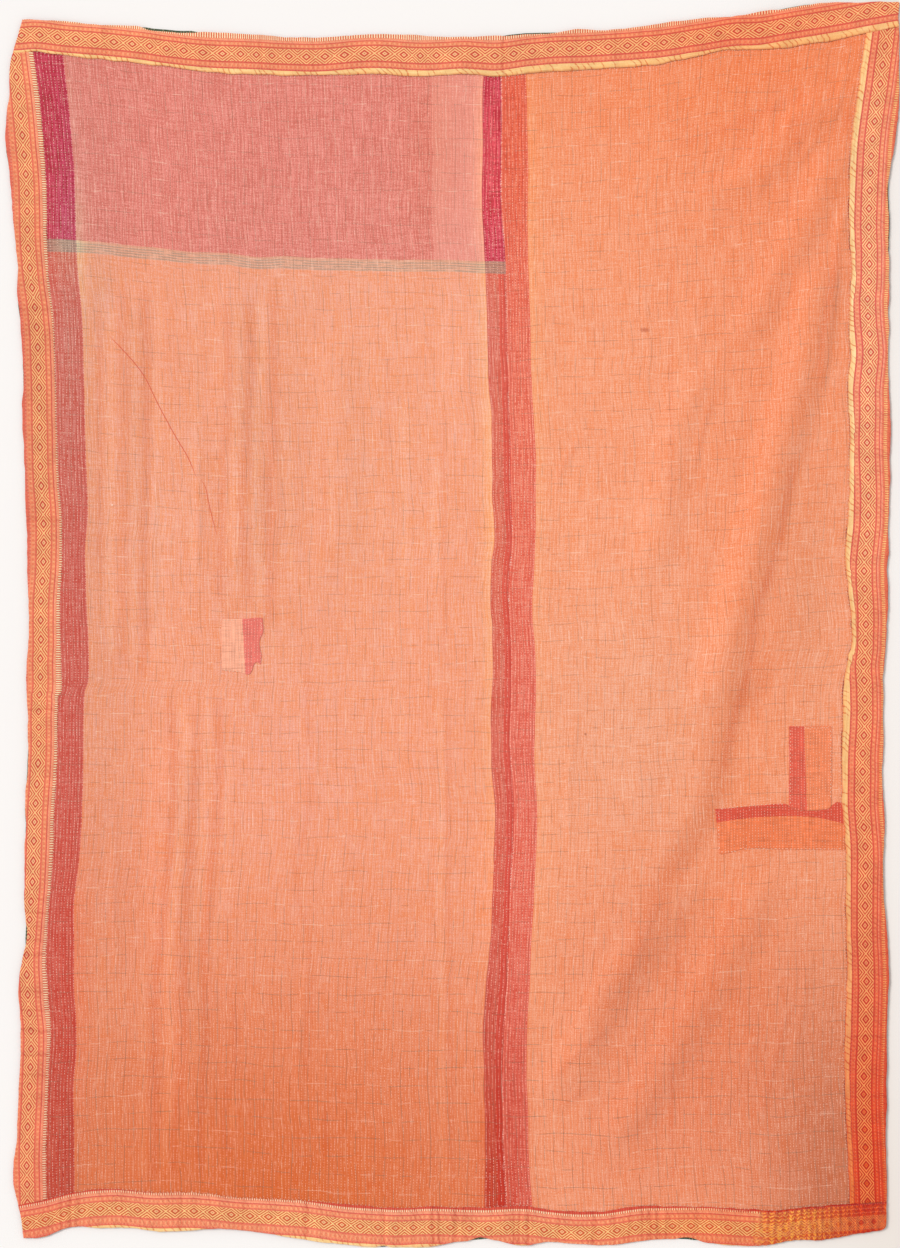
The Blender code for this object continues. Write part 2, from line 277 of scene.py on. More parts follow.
# Small sharp wrinkles, listed in the same way.
WRINKLES = [
    (9, 1.3, [(-521, 560), (-466, 523), (-441, 499), (-424, 490)]),
    (8, 1.3, [(-384, 550), (-365, 504), (-343, 443), (-336, 423)]),
    (9, 1.0, [(-147, 624), (-108, 587), (-68, 554), (-45, 512), (-36, 480)]),
    (8, 0.8, [(66, 526), (34, 508), (16, 486), (-21, 478), (-58, 434), (-86, 397), (-123, 375)]),
    (8, 1.2, [(-247, 143), (-286, 125)]), (9, 1.6, [(288, 826), (297, 810), (306, 795)]),
    (11, 2.0, [(682, 914), (672, 896), (645, 859), (630, 832)]),
    (10, 1.6, [(654, 961), (632, 942), (617, 896)]), (10, 1.6, [(580, 841), (567, 800), (560, 779)]),
    (11, 1.8, [(741, 1035), (728, 1016), (715, 970), (700, 920)]),
    (10, 1.4, [(604, 980), (589, 942), (578, 905)]), (9, 1.4, [(586, 730), (580, 720), (565, 684)]),
    (14, 2.2, [(722, 770), (710, 656), (697, 545), (682, 434)]),
    (12, 1.2, [(500, 905), (480, 850), (465, 800)]), (10, 1.0, [(350, 640), (362, 540), (370, 470)]),
    (9, 1.0, [(430, 612), (455, 560), (462, 500)]), (12, 1.3, [(-470, 330), (-466, 200), (-474, 90)]),
    (12, 1.2, [(-330, 360), (-322, 220), (-330, 120)]), (11, 1.2, [(-545, 280), (-552, 130), (-548, 20)]),
    (12, 1.2, [(-620, -330), (-626, -480), (-618, -640)]),
    (12, 1.2, [(-440, -430), (-452, -560), (-440, -720)]),
    (12, 1.2, [(-265, -620), (-282, -760), (-280, -900)]),
    (12, 1.4, [(560, -760), (520, -860), (470, -960)]), (12, 1.4, [(660, -620), (640, -760), (610, -880)]),
    (12, 1.2, [(230, -180), (216, -300), (222, -420)]), (9, 1.5, [(-738, 194), (-752, 191)]),
    (8, 1.4, [(-382, -288), (-396, -294), (-412, -299)]),
    (11, 1.6, [(297, -732), (254, -775), (212, -812), (169, -860)]),
    (11, 1.5, [(260, -838), (217, -881), (175, -913)]), (10, 1.4, [(263, 363), (222, 321), (190, 236)]),
    (10, 1.3, [(483, 427), (465, 363), (444, 278)]),
    (10, 1.3, [(627, -700), (611, -754), (589, -838), (568, -924)]),
    (10, 1.3, [(387, -498), (339, -615), (324, -647)]),
]
WRINKLE_FADE = 16.0

# Random soft relief that quilting gives to cloth: size across, size down, height and seed.
RELIEF = [(130, 260, 1.6, 11), (52, 84, 0.7, 12), (21, 27, 0.32, 13)]

# Marks along creases: half width, how much paler, and a path listed downwards. On the left panel they are
# fading that old creases left in the dye; on the right panel they are painted shade along its wrinkles,
# creases and the valley of its big fold, with a few painted highlights beside creases.
# fmt: off
LEFT_MARKS = [
    (9, -0.08, [(-651, 600), (-651, 300), (-650, 60)]),
    (15, 0.08, [(-628, 600), (-629, 300), (-630, -80)]),
    (17, -0.07, [(-606, 640), (-604, 400), (-606, 50), (-608, -90)]),
    (13, 0.06, [(-587, 640), (-585, 400), (-587, 200), (-586, -90)]),
    (15, -0.09, [(-567, 640), (-563, 400), (-566, 200), (-570, -120)]),
    (14, 0.055, [(-541, 620), (-545, 300), (-546, 20), (-544, -90)]),
    (14, 0.05, [(-475, 620), (-474, 400), (-480, 200), (-470, 40)]),
    (14, -0.08, [(-420, 620), (-413, 490), (-415, 400), (-424, 220), (-429, 20)]),
    (13, 0.07, [(-397, 620), (-398, 400), (-403, 220), (-400, 30)]),
    (14, -0.08, [(-373, 620), (-371, 500), (-376, 400), (-384, 220), (-379, 20)]),
    (15, 0.10, [(-350, 620), (-350, 500), (-358, 400), (-360, 220), (-356, 20)]),
    (18, -0.10, [(-331, 640), (-328, 400), (-335, 220), (-331, 60), (-336, -20)]),
    (14, 0.06, [(-300, 380), (-300, 200), (-296, 60)]),
    (12, -0.045, [(-240, 360), (-234, 230), (-238, 120)]),
    (12, 0.05, [(-222, 360), (-223, 220), (-220, 120)]),
    (12, -0.05, [(-120, 520), (-118, 400), (-120, 290)]), (14, 0.06, [(-87, 440), (-85, 220), (-87, 60)]),
    (14, 0.07, [(-31, 330), (-30, 200), (-24, 60)]),
    (11, -0.06, [(-15, 420), (-15, 220), (-13, 60), (-11, -90)]),
    (14, -0.10, [(-519, -120), (-514, -250), (-516, -330), (-528, -470), (-534, -560), (-546, -660),
        (-548, -950), (-552, -1050)]),
    (14, 0.09, [(-498, -130), (-489, -250), (-497, -340), (-508, -470), (-516, -560), (-522, -680),
        (-524, -840), (-530, -1030)]),
    (14, -0.08, [(-477, -140), (-473, -250), (-478, -330), (-490, -460), (-491, -560), (-495, -680),
        (-498, -830), (-513, -930), (-512, -1040)]),
    (13, 0.075, [(-455, -110), (-451, -250), (-459, -340), (-466, -460), (-476, -560), (-474, -740),
        (-474, -830)]),
    (15, -0.10, [(-430, -120), (-429, -250), (-434, -350), (-444, -460), (-455, -560), (-455, -740),
        (-462, -930), (-462, -1040)]),
    (12, 0.06, [(-415, -220), (-415, -400), (-418, -480), (-435, -560), (-437, -660)]),
    (10, 0.09, [(-453, -880), (-454, -1050)]),
    (11, -0.09, [(-402, -680), (-400, -800), (-418, -900), (-416, -1000)]),
    (10, 0.07, [(-407, -780), (-406, -960)]), (13, 0.065, [(-572, -600), (-570, -760), (-571, -1040)]),
    (11, 0.075, [(-24, -120), (-19, -250), (-20, -400), (-24, -520), (-16, -660), (-19, -780),
        (-13, -1060)]),
    (11, -0.065, [(-8, -120), (-7, -300), (-7, -470), (-1, -560), (-4, -740), (-1, -840), (0, -1060)]),
    (12, -0.055, [(-268, -60), (-265, -180), (-266, -340), (-287, -470), (-268, -560), (-268, -860)]),
    (11, -0.10, [(-231, -870), (-231, -990)]), (12, 0.06, [(-105, -860), (-105, -1050)]),
    (12, 0.055, [(-89, -120), (-90, -270)]),
]
# Painted shade, and a few painted highlights, along the right panel's wrinkles, creases and fold valley.
RIGHT_CREASE_SHADING = [
    (12, -0.07, [(706, 1002), (584, 949), (478, 906), (361, 869)]),
    (11, -0.10, [(648, 943), (630, 925), (618, 911)]), (10, -0.06, [(680, 980), (648, 927), (637, 842)]),
    (12, -0.10, [(741, 959), (730, 930), (722, 906)]),
    (13, -0.12, [(715, 725), (701, 619), (687, 534), (680, 427)]),
    (15, -0.11, [(637, 321), (616, 204), (595, 119), (582, 76), (561, 23), (552, -62), (515, -211),
        (499, -296)]),
    (11, -0.10, [(622, 222), (612, 190)]), (11, -0.10, [(585, 90), (576, 60)]),
    (12, -0.06, [(483, 427), (465, 363), (444, 278)]), (12, -0.07, [(263, 363), (222, 321), (190, 236)]),
    (8, -0.07, [(408, 693), (406, 450), (404, 193)]), (8, -0.05, [(404, 40), (404, -40)]),
    (8, 0.07, [(412, -440), (412, -540), (410, -620)]),
    (9, -0.07, [(420, -480), (421, -620), (420, -700)]), (8, 0.07, [(398, -764), (397, -1030)]),
    (9, -0.07, [(406, -764), (406, -1000)]),
    (12, -0.09, [(297, -732), (254, -775), (212, -812), (169, -860)]),
    (12, -0.09, [(260, -838), (217, -881), (175, -913)]),
    (12, -0.06, [(387, -498), (339, -615), (324, -647)]),
    (12, -0.07, [(536, -466), (520, -530), (504, -583), (478, -679)]),
    (12, -0.07, [(627, -700), (611, -754), (589, -838), (568, -924)]),
    (11, -0.05, [(643, -881), (635, -977), (595, -1051)]), (9, -0.05, [(190, 592), (350, 579)]),
    (13, -0.06, [(350, -976), (297, -1010), (260, -1060)]),
    (10, -0.09, [(424, -980), (412, -1010), (405, -1040)]),
]
# fmt: on
MARK_TINT = (0.5, 1.45, 1.9)  # how much a mark changes red, green and blue
MOTTLE_TINT = (0.5, 1.0, 1.1)  # and how much the random mottling does
MARK_FADE = 45  # length over which a mark dies out at each end
# Length over which the painted fold shade dies out at each end
FOLD_SHADE_FADE = 160

# A pulled thread on the left panel, in two lengths.
PULLED_THREAD = [
    (-632, 533), (-609, 509), (-572, 465), (-541, 404), (-510, 347), (-487, 308), (-472, 273),
]
PULLED_THREAD_END = [(-463, 267), (-456, 256), (-450, 229), (-442, 196), (-434, 166)]

# --------------------------------------------------------------------------------------- the shades

# Soft zones where the colour is deeper, paler or greyer, mostly by the dye; two zones of the right panel
# are
# painted shade: middle x and y, reach across and down, and the change of red, green and blue at the
# middle.
LEFT_ZONES = [
    (-330, -1120, 700, 520, -0.23, -0.60, -0.87), (-300, 615, 330, 60, 0.0, 0.04, 0.10),
    (-2, 480, 30, 200, 0.03, 0.08, 0.13), (-665, 150, 85, 1100, -0.10, -0.06, -0.03),
    (-620, -480, 110, 200, -0.02, -0.08, -0.10), (-370, 350, 200, 480, -0.06, -0.02, 0),
    (-540, 180, 60, 190, 0.02, 0.10, 0.17), (-110, 330, 190, 420, 0.01, 0.08, 0.10),
    (-310, -240, 150, 190, 0.01, 0.05, 0.14), (-708, 560, 29, 380, -0.04, 0.46, 0.50),
    (-645, 610, 26, 90, -0.06, 0.0, 0.06), (-705, -640, 40, 330, 0.0, -0.24, -0.32),
    (-700, -1000, 40, 160, -0.06, -0.08, -0.06), (84, 250, 26, 700, 0.11, 0.32, 0.12),
    (75, 850, 30, 190, 0.26, 0.42, 0.06), (84, -500, 40, 200, 0.06, 0, -0.05),
    (84, -1020, 40, 260, -0.04, -0.40, -0.62), (75, 560, 40, 170, 0, 0.14, 0.24),
    (-722, 740, 40, 70, 0.06, 0.50, 0.26), (-30, 900, 70, 200, -0.04, -0.10, -0.18),
]
RIGHT_ZONES = [
    (600, 1150, 700, 420, -0.02, -0.29, -0.50), (640, 560, 230, 520, -0.03, -0.14, -0.22),
    # The zone at 655, 60 is painted shade on the shadow side of the big fold's ridge.
    (655, 60, 65, 250, -0.09, -0.06, -0.04), (330, -190, 190, 260, -0.04, 0.07, 0.16),
    (545, -60, 105, 560, -0.02, -0.12, -0.20), (440, -850, 330, 430, -0.13, -0.31, -0.38),
    # The zone at 710, -1080 is painted shade, darker towards the panel's lower right corner.
    (500, -640, 120, 260, -0.01, -0.08, -0.16), (710, -1080, 140, 480, -0.34, -0.47, -0.54),
    (112, -1010, 40, 300, -0.14, -0.36, -0.46), (118, 880, 40, 260, 0.02, -0.04, -0.22),
    (130, 330, 32, 480, 0.05, 0.20, 0.08), (130, -480, 36, 220, 0.05, 0.14, 0.10),
]
# Painted shade along the valley below the right panel's big fold: half width, the change of each colour,
# and a path listed downwards.
RIGHT_FOLD_SHADE = [
    (46, (-0.12, -0.20, -0.26), [
        (600, 10), (562, -100), (506, -214), (491, -306), (436, -417), (380, -510), (352, -602),
        (297, -695), (241, -806),
    ]),
]
BORDER_ZONES = [
    (560, 1110, 330, 120, 0, -0.21, -0.30), (-660, 1090, 160, 60, 0.06, 0.10, 0.05),
    (-465, 1110, 120, 70, 0.06, 0.05, 0.04), (-200, -1110, 420, 60, 0.02, 0.05, 0.08),
    (770, -300, 60, 420, 0, -0.13, -0.16), (770, 560, 60, 460, 0.05, 0.12, 0.32),
    (770, -1080, 90, 620, -0.20, -0.82, -0.99), (700, -1110, 170, 90, -0.12, -0.24, -0.50),
    (460, -1110, 150, 80, 0, -0.15, -0.28), (-770, 430, 60, 300, -0.09, -0.10, -0.10),
    (-770, -1080, 90, 420, -0.04, -0.18, -0.16), (-770, -560, 60, 260, -0.03, -0.08, -0.03),
]


def smooth_curve(known_at, known, at):
    """A smooth curve through known points, read at other places along it."""
    order = np.argsort(known_at)
    places = np.asarray(known_at, float)[order]
    values = np.asarray(known, float)[order]
    slopes = np.gradient(values, places)
    at = np.clip(at, places[0], places[-1])
    span = np.clip(np.searchsorted(places, at) - 1, 0, len(places) - 2)
    length = places[span + 1] - places[span]
    t = (at - places[span]) / length
    rise = values[span + 1] - values[span]
    start_bow = slopes[span] * length - rise
    end_bow = rise - slopes[span + 1] * length
    return values[span] + rise * t + t * (1 - t) * (start_bow * (1 - t) + end_bow * t)


def charted(points):
    """A charted line as a function of the place along it."""
    known_at, known = zip(*points)
    return lambda at: smooth_curve(known_at, known, at)


def moved(line, distance):
    """A line moved by a distance, which may be a function of the place along it."""
    if callable(distance):
        return lambda at: line(at) + distance(at)
    return lambda at: line(at) + distance


def eased(t):
    """A share from 0 to 1, made to start and end gently."""
    return t * t * (3 - 2 * t)


HILLS = 256  # random heights each way, before they repeat


def soft_noise(x, y, size_x, size_y, seed):
    """Smooth random hills between -1 and 1."""
    hills = np.random.default_rng(seed).uniform(-1, 1, (HILLS, HILLS))
    across = x / size_x + HILLS / 2
    down = y / size_y + HILLS / 2
    column = np.floor(across).astype(int)
    row = np.floor(down).astype(int)
    s = eased(across - column)
    t = eased(down - row)
    column = column % (HILLS - 1)
    row = row % (HILLS - 1)
    upper = hills[row, column] * (1 - s) + hills[row, column + 1] * s
    lower = hills[row + 1, column] * (1 - s) + hills[row + 1, column + 1] * s
    return upper * (1 - t) + lower * t


def noise_along(at, size, seed):
    """Smooth random hills along a line."""
    return soft_noise(at, np.zeros_like(at), size, 1.0, seed)


def smooth_step(value, low, high):
    return eased(np.clip((value - low) / (high - low), 0, 1))


def fold_height(x, y, folds, fade):
    """How far ridges that run down the quilt lift the cloth."""
    height = np.zeros_like(x)
    for half_width, tall, path in folds:
        path_x, path_y = np.array(path, float).T
        near = (y < path_y[0]) & (y > path_y[-1])
        near &= (x > path_x.min() - 4 * half_width) & (x < path_x.max() + 4 * half_width)
        at = y[near]
        lean = smooth_curve(path_y, np.gradient(path_x, path_y), at)
        aside = (x[near] - smooth_curve(path_y, path_x, at)) / np.hypot(1, lean)
        across = np.clip(aside / half_width, -1, 1)
        ends = np.minimum(path_y[0] - at, at - path_y[-1])
        along = np.clip(ends / min(fade, (path_y[0] - path_y[-1]) / 2), 0, 1)
        height[near] += tall * np.cos(across * np.pi / 2) ** 2 * np.sin(along * np.pi / 2) ** 2
    return height


def lift(x, y):
    """How far folds, wrinkles and the soft relief of quilting lift the quilt's face."""
    height = fold_height(x, y, FOLDS, FOLD_FADE) + fold_height(x, y, WRINKLES, WRINKLE_FADE)
    for size_x, size_y, tall, seed in RELIEF:
        height += tall * np.clip(soft_noise(x, y, size_x, size_y, seed) + 0.25, 0, None)
    return height


OUTLINE_SEEDS = {"left": 21, "right": 22, "top": 23, "bottom": 24}
BORDER_INSET = 0.4  # of the borders' edges from the outline
BACKING_INSET = 3.0  # of the backing's edges from it
BACKING_PEEP = 2.6  # how much of that inset the backing loses at most, where it peeps out


def side_outline(side):
    """The outline on one side of the quilt with the small scallops of its hem, and how far the border
    stays inside it where the backing peeps out."""
    seed = OUTLINE_SEEDS[side]
    lines = DOWN_LINES if side in ("left", "right") else ACROSS_LINES
    line = charted(lines[side + "_edge"])

    def scallops(at):
        return 1.3 * noise_along(at, 34.0, seed) + 0.5 * noise_along(at, 11.0, seed + 10)

    def peep(at):
        width = np.zeros_like(at)
        for first, last, wide in PEEPS[side]:
            inside = np.minimum(at - first, last - at)
            width = np.maximum(width, wide * smooth_step(inside, -6, 22))
        return width

    return moved(line, scallops), peep


# How stitches pinch each border's inner edge: height, size along it and seed.
PINCHES = {
    "left": (0.5, 17.0, 35), "right": (1, 19.0, 31), "top": (1, 24.0, 33), "bottom": (0.8, 14.0, 37),
}


def quilt_lines():
    """Every line that a cloth's net follows, by name."""
    lines = {name: charted(points) for name, points in (DOWN_LINES | ACROSS_LINES).items()}
    for side, inwards in (("left", 1), ("right", -1), ("top", -1), ("bottom", 1)):
        outline, peep = side_outline(side)
        lines[side + "_edge"] = moved(outline, lambda at, w=inwards, p=peep: w * (BORDER_INSET + p(at)))
        lines[side + "_backing"] = moved(
            outline, lambda at, w=inwards, p=peep: w * (BACKING_INSET - np.minimum(p(at), BACKING_PEEP))
        )

    def pinches(at, tall, size, seed):
        small = np.abs(noise_along(at, 27.0, seed + 1)) < 0.06
        return tall * (1.5 * noise_along(at, size, seed) - 0.6 * small)

    for side, pinch in PINCHES.items():
        lines[side + "_border_pinched"] = moved(
            lines[side + "_border"], lambda at, pinch=pinch: pinches(at, *pinch)
        )
    return lines


LINES = quilt_lines()


def spread_lines(named, step, at):
    """Even lines between named ones, whose distances are measured at one place along them: for each, the
    two lines that it lies between, its share of the way and its own coordinate on the cloth."""
    at = np.array([at])
    places = []
    for (line, label), (following, next_label) in zip(named, named[1:]):
        pieces = max(1, round(abs(float((following(at) - line(at))[0])) / step))
        for share in np.arange(pieces) / pieces:
            places.append((line, following, share, label + (next_label - label) * share))
    line, label = named[-1]
    places.append((line, line, 0.0, label))
    return places


def net_of(down, across, step_across, step_down, middle=(0.0, 0.0)):
    """Points of a net whose columns follow the lines down and whose rows follow the lines across, worked
    out from its middle. Each line is given with its own coordinate. Returns x, y and the columns'
    coordinate."""
    middle_x, middle_y = middle
    columns = spread_lines(down, step_across, middle_y)
    rows = spread_lines(across, step_down, middle_x)
    x = np.full((len(rows), len(columns)), middle_x, float)
    y = np.full_like(x, middle_y)
    for _ in range(SETTLING_ROUNDS):
        for i, (line, following, share, _label) in enumerate(rows):
            y[i] = (1 - share) * line(x[i]) + share * following(x[i])
        for j, (line, following, share, _label) in enumerate(columns):
            x[:, j] = (1 - share) * line(y[:, j]) + share * following(y[:, j])
    labels = np.array([place[3] for place in columns])
    return x, y, np.broadcast_to(labels, x.shape)


def sag_of(chart, x, y):
    """How far the weft threads lie off a level line, from a chart."""
    known_x, rows = chart
    heights = [row[0] for row in rows]
    at_rows = np.stack([smooth_curve(known_x, row[1], x) for row in rows])
    order = np.argsort(heights)
    heights = np.asarray(heights, float)[order]
    at_rows = at_rows[order]
    y = np.clip(y, heights[0], heights[-1])
    span = np.clip(np.searchsorted(heights, y) - 1, 0, len(heights) - 2)
    t = eased((y - heights[span]) / (heights[span + 1] - heights[span]))
    lower = np.take_along_axis(at_rows, span[None], 0)[0]
    upper = np.take_along_axis(at_rows, span[None] + 1, 0)[0]
    return lower * (1 - t) + upper * t


# The frame's origin is the middle of the quilt's box.
BOX_X, BOX_Y = (-827, 828), (-1151, 1151)
SHIFT_X = sum(BOX_X) / 2
SHIFT_Y = sum(BOX_Y) / 2


def new_object(name, points, faces, uv, tone, material):
    """A mesh in the scene, with its coordinates on the cloth and its tone at each point."""
    mesh = bpy.data.meshes.new(name)
    mesh.from_pydata(points.tolist(), [], faces.tolist())
    mesh.shade_smooth()
    layer = mesh.uv_layers.new(name="cloth")
    layer.data.foreach_set("uv", uv[faces.ravel()].ravel())
    attribute = mesh.attributes.new("tone", "FLOAT_COLOR", "POINT")
    attribute.data.foreach_set("color", np.concatenate([tone, np.ones((len(tone), 1))], 1).ravel())
    mesh.materials.append(material)
    made = bpy.data.objects.new(name, mesh)
    bpy.context.scene.collection.objects.link(made)
    return made


def add_sheet(name, x, y, top, bottom, cloth_uv, tone, material, closed=False):
    """A cloth as a net of points with a wall round its rim, and with an underside if it is closed."""
    points = np.stack([x - SHIFT_X, y - SHIFT_Y, top], -1).reshape(-1, 3) * MM
    low_points = np.stack([x - SHIFT_X, y - SHIFT_Y, bottom], -1).reshape(-1, 3) * MM
    index = np.arange(x.size).reshape(x.shape)
    if closed:
        source = index.ravel()
        under = index + x.size
    else:
        source = np.concatenate([index[0, :-1], index[:-1, -1], index[-1, :0:-1], index[:0:-1, 0]])
        under = np.full(x.size, -1)
        under[source] = np.arange(len(source)) + x.size
        under = under.reshape(x.shape)
    facing_out = [index[:-1, :-1], index[1:, :-1], index[1:, 1:], index[:-1, 1:]]
    quads = [np.stack(facing_out, -1).reshape(-1, 4)]
    for edge, low in (
        (index[0], under[0]),
        (index[-1, ::-1], under[-1, ::-1]),
        (index[::-1, 0], under[::-1, 0]),
        (index[:, -1], under[:, -1]),
    ):
        quads.append(np.stack([edge[:-1], edge[1:], low[1:], low[:-1]], -1))
    if closed:
        facing_down = [under[:-1, :-1], under[:-1, 1:], under[1:, 1:], under[1:, :-1]]
        quads.append(np.stack(facing_down, -1).reshape(-1, 4))
    points = np.concatenate([points, low_points[source]])
    uv = cloth_uv.reshape(-1, 2)
    tone = tone.reshape(-1, 3)
    uv = np.concatenate([uv, uv[source]])
    tone = np.concatenate([tone, tone[source]])
    sheet = new_object(name, points, np.concatenate(quads), uv, tone, material)
    sheet.data.set_sharp_from_angle(angle=np.radians(50))
    return sheet


def rounded(z, drop=0.5):
    """Lower the outermost points of a net, so that its rim looks rounded."""
    z = z.copy()
    for rim in (z[0], z[-1], z[:, 0], z[:, -1]):
        rim -= drop
    return z


def tone_at(zones, x, y, mottle=0.02, seed=50, streaks=(), marks=()):
    """How the dye, and painted shade along folds and creases, change each colour at places on the quilt,
    as factors near one.
    """
    ragged = x + 2.5 * soft_noise(x, y, 30, 34, 57)
    changes = [(fold_height(ragged, y, [mark], MARK_FADE), MARK_TINT) for mark in marks]
    # Streaks are painted shade along the valleys of folds
    for half_width, change, path in streaks:
        changes.append((fold_height(x, y, [(half_width, 1, path)], FOLD_SHADE_FADE), change))
    for at_x, at_y, reach_x, reach_y, *change in zones:
        away = ((x - at_x) / reach_x) ** 2 + ((y - at_y) / reach_y) ** 2
        changes.append((np.exp(-away * 1.2), change))
    patchy = soft_noise(x, y, 46, 70, seed) + 0.6 * soft_noise(x, y, 19, 150, seed + 1)
    changes.append((mottle * patchy, MOTTLE_TINT))
    tone = np.ones((*x.shape, 3))
    for near, change in changes:
        tone *= 1 + near[..., None] * np.array(change)
    return tone


# ------------------------------------------------------------------------------------ the materials


class Field:
    """A number that a material's nodes read or work out. Arithmetic with it adds Math nodes."""

    def __init__(self, socket):
        self.socket = socket

    def __add__(self, other):
        return worked_out("ADD", self, other)

    def __radd__(self, other):
        return worked_out("ADD", other, self)

    def __sub__(self, other):
        return worked_out("SUBTRACT", self, other)

    def __rsub__(self, other):
        return worked_out("SUBTRACT", other, self)

    def __mul__(self, other):
        return worked_out("MULTIPLY", self, other)

    def __rmul__(self, other):
        return worked_out("MULTIPLY", other, self)


def added(kind, inputs, out=0, **settings):
    """Add a node of a kind with its settings, feed its sockets and return one of its outputs."""
    tree = next(value.socket.id_data for value in inputs.values() if isinstance(value, Field))
    node = tree.nodes.new("ShaderNode" + kind)
    for setting, value in settings.items():
        setattr(node, setting, value)
    feed([node.inputs[socket] for socket in inputs], inputs.values())
    return Field(node.outputs[out])


def worked_out(operation, *values):
    return added("Math", dict(enumerate(values)), operation=operation)


def feed(sockets, values):
    """Link or set a node's sockets. A tuple is a colour as screens show it, 0 to 255."""
    for socket, value in zip(sockets, values):
        if isinstance(value, Field):
            socket.id_data.links.new(value.socket, socket)
        elif isinstance(value, tuple):
            socket.default_value = (*linear(value), 1)
        else:
            socket.default_value = value


def linear(colour):
    """A screen colour, 0 to 255, as the linear values that shaders work with."""
    shares = np.asarray(colour, float) / 255
    return np.where(shares <= 0.04045, shares / 12.92, ((shares + 0.055) / 1.055) ** 2.4)


def distance(value, other):
    return worked_out("ABSOLUTE", value - other)


def step_up(value, low, high):
    """Rises smoothly from 0 where value is low to 1 where it is high. Falls if low is above high."""
    return added("MapRange", {0: value, 1: low, 2: high}, interpolation_type="SMOOTHSTEP")


def line_at(value, place, half_width, softness):
    """1 on a line round a place, 0 away from it."""
    return step_up(distance(value, place), half_width + softness, half_width - softness)


def between(value, low, high, softness):
    """1 between two places, 0 outside them."""
    rise = step_up(value, low - softness, low + softness)
    return rise * step_up(value, high + softness, high - softness)


def repeated(value, period):
    """Distance to the nearest multiple of the period."""
    return worked_out("PINGPONG", value, period / 2)


def row_number(value, period):
    return worked_out("FLOOR", value * (1 / period) + 0.5)


def noise(place, per_metre_u, per_metre_v, seed, detail=1.0):
    """Random soft values between 0 and 1, with so many spots in a metre each way."""
    shift = [seed * 3.7, seed * 1.9, 0]
    spots = added("Mapping", {0: place, "Location": shift, "Scale": [per_metre_u, per_metre_v, 1]})
    return added("TexNoise", {"Vector": spots, "Scale": 1, "Detail": detail}, noise_dimensions="2D")


def dice(number, seed):
    """A random value from 0 to 1 for each whole number."""
    return added("TexWhiteNoise", {1: number + seed}, noise_dimensions="1D")


def coated(colour, *coats):
    """A colour under coats of others, each with how far it is mixed in."""
    for coat, share in coats:
        colour = mixed(colour, coat, share)
    return colour


def mixed(first, second, share):
    """A colour part of the way from the first to the second."""
    return added("Mix", {0: share, 6: first, 7: second}, 2, data_type="RGBA")


def shaded(colour, factor):
    """A colour made darker or brighter by a factor."""
    return added("VectorMath", {0: colour, 3: factor}, operation="SCALE")


def times(colour, other):
    return added("VectorMath", {0: colour, 1: other}, operation="MULTIPLY")


PALING_TINT = [0.6, 1.0, 1.05]  # how much paling or painted shade changes red, green and blue


def paled_or_shaded(colour, change):
    """A colour made paler by a share, or deeper if it is below 0, by the dye or by painted shade: its red
    changes least.
    """
    inputs = {0: PALING_TINT, 1: change, 2: [1, 1, 1]}
    return times(colour, added("VectorMath", inputs, operation="MULTIPLY_ADD"))


def distance_to(place, point):
    return added("VectorMath", {0: place, 1: [*point, 0]}, "Value", operation="DISTANCE")


def ramp(value, stops):
    """A colour for each value from 0 to 1, from a list of (value, colour)."""
    node = value.socket.id_data.nodes.new("ShaderNodeValToRGB")
    feed(node.inputs[:1], (value,))
    elements = node.color_ramp.elements
    for element, (place, colour) in zip(elements, (stops[0], stops[-1])):
        element.position = place
        element.color = (*linear(colour), 1)
    for place, colour in stops[1:-1]:
        element = elements.new(place)
        element.color = (*linear(colour), 1)
    return Field(node.outputs[0])


Surface = namedtuple("Surface", "material tree shader place u v tone")


def new_surface(name, sheen=0.2, specular=0.15):
    """A material with its shader, and the cloth's coordinates and tone to work from."""
    material = bpy.data.materials.new(name)
    material.use_nodes = True
    tree = material.node_tree
    shader = tree.nodes["Principled BSDF"]
    shader.inputs["Sheen Weight"].default_value = sheen
    shader.inputs["Sheen Roughness"].default_value = 0.6
    shader.inputs["Specular IOR Level"].default_value = specular
    coordinates = tree.nodes.new("ShaderNodeUVMap")
    coordinates.uv_map = "cloth"
    split = tree.nodes.new("ShaderNodeSeparateXYZ")
    tree.links.new(coordinates.outputs[0], split.inputs[0])
    tone = tree.nodes.new("ShaderNodeAttribute")
    tone.attribute_name = "tone"
    return Surface(
        material,
        tree,
        shader,
        Field(coordinates.outputs[0]),
        Field(split.outputs[0]),
        Field(split.outputs[1]),
        Field(tone.outputs["Color"]),
    )


def finish_surface(surface, colour, relief, roughness):
    """Feed a shader with its colour, relief in metres and roughness."""
    tree = surface.tree
    tree.links.new(colour.socket, surface.shader.inputs["Base Color"])
    bump = tree.nodes.new("ShaderNodeBump")
    bump.inputs["Strength"].default_value = 1
    bump.inputs["Distance"].default_value = 1
    tree.links.new(relief.socket, bump.inputs["Height"])
    tree.links.new(bump.outputs[0], surface.shader.inputs["Normal"])
    feed([surface.shader.inputs["Roughness"]], (roughness,))
    return surface.material


def running_stitches(u, v, row_pitch, period, seed):
    """Rows of running stitches down the cloth: 1 on the thread, and how far the cloth puffs up."""
    aside = repeated(u, row_pitch)
    along = repeated(v + dice(row_number(u, row_pitch), seed) * period * 0.7, period)
    thread = step_up(aside, 0.00065, 0.00030) * step_up(along, period * 0.27, period * 0.17)
    puff = step_up(aside, 0, row_pitch * 0.5) + 0.5 * step_up(along, period * 0.1, period * 0.5)
    return thread, puff


def woven_threads(u, v, pitch):
    """Relief of a plain weave: threads over and under each other, from 0 to 1."""
    return repeated(u, pitch) * (1 / pitch) + repeated(v, pitch * 1.15) * (1 / pitch)


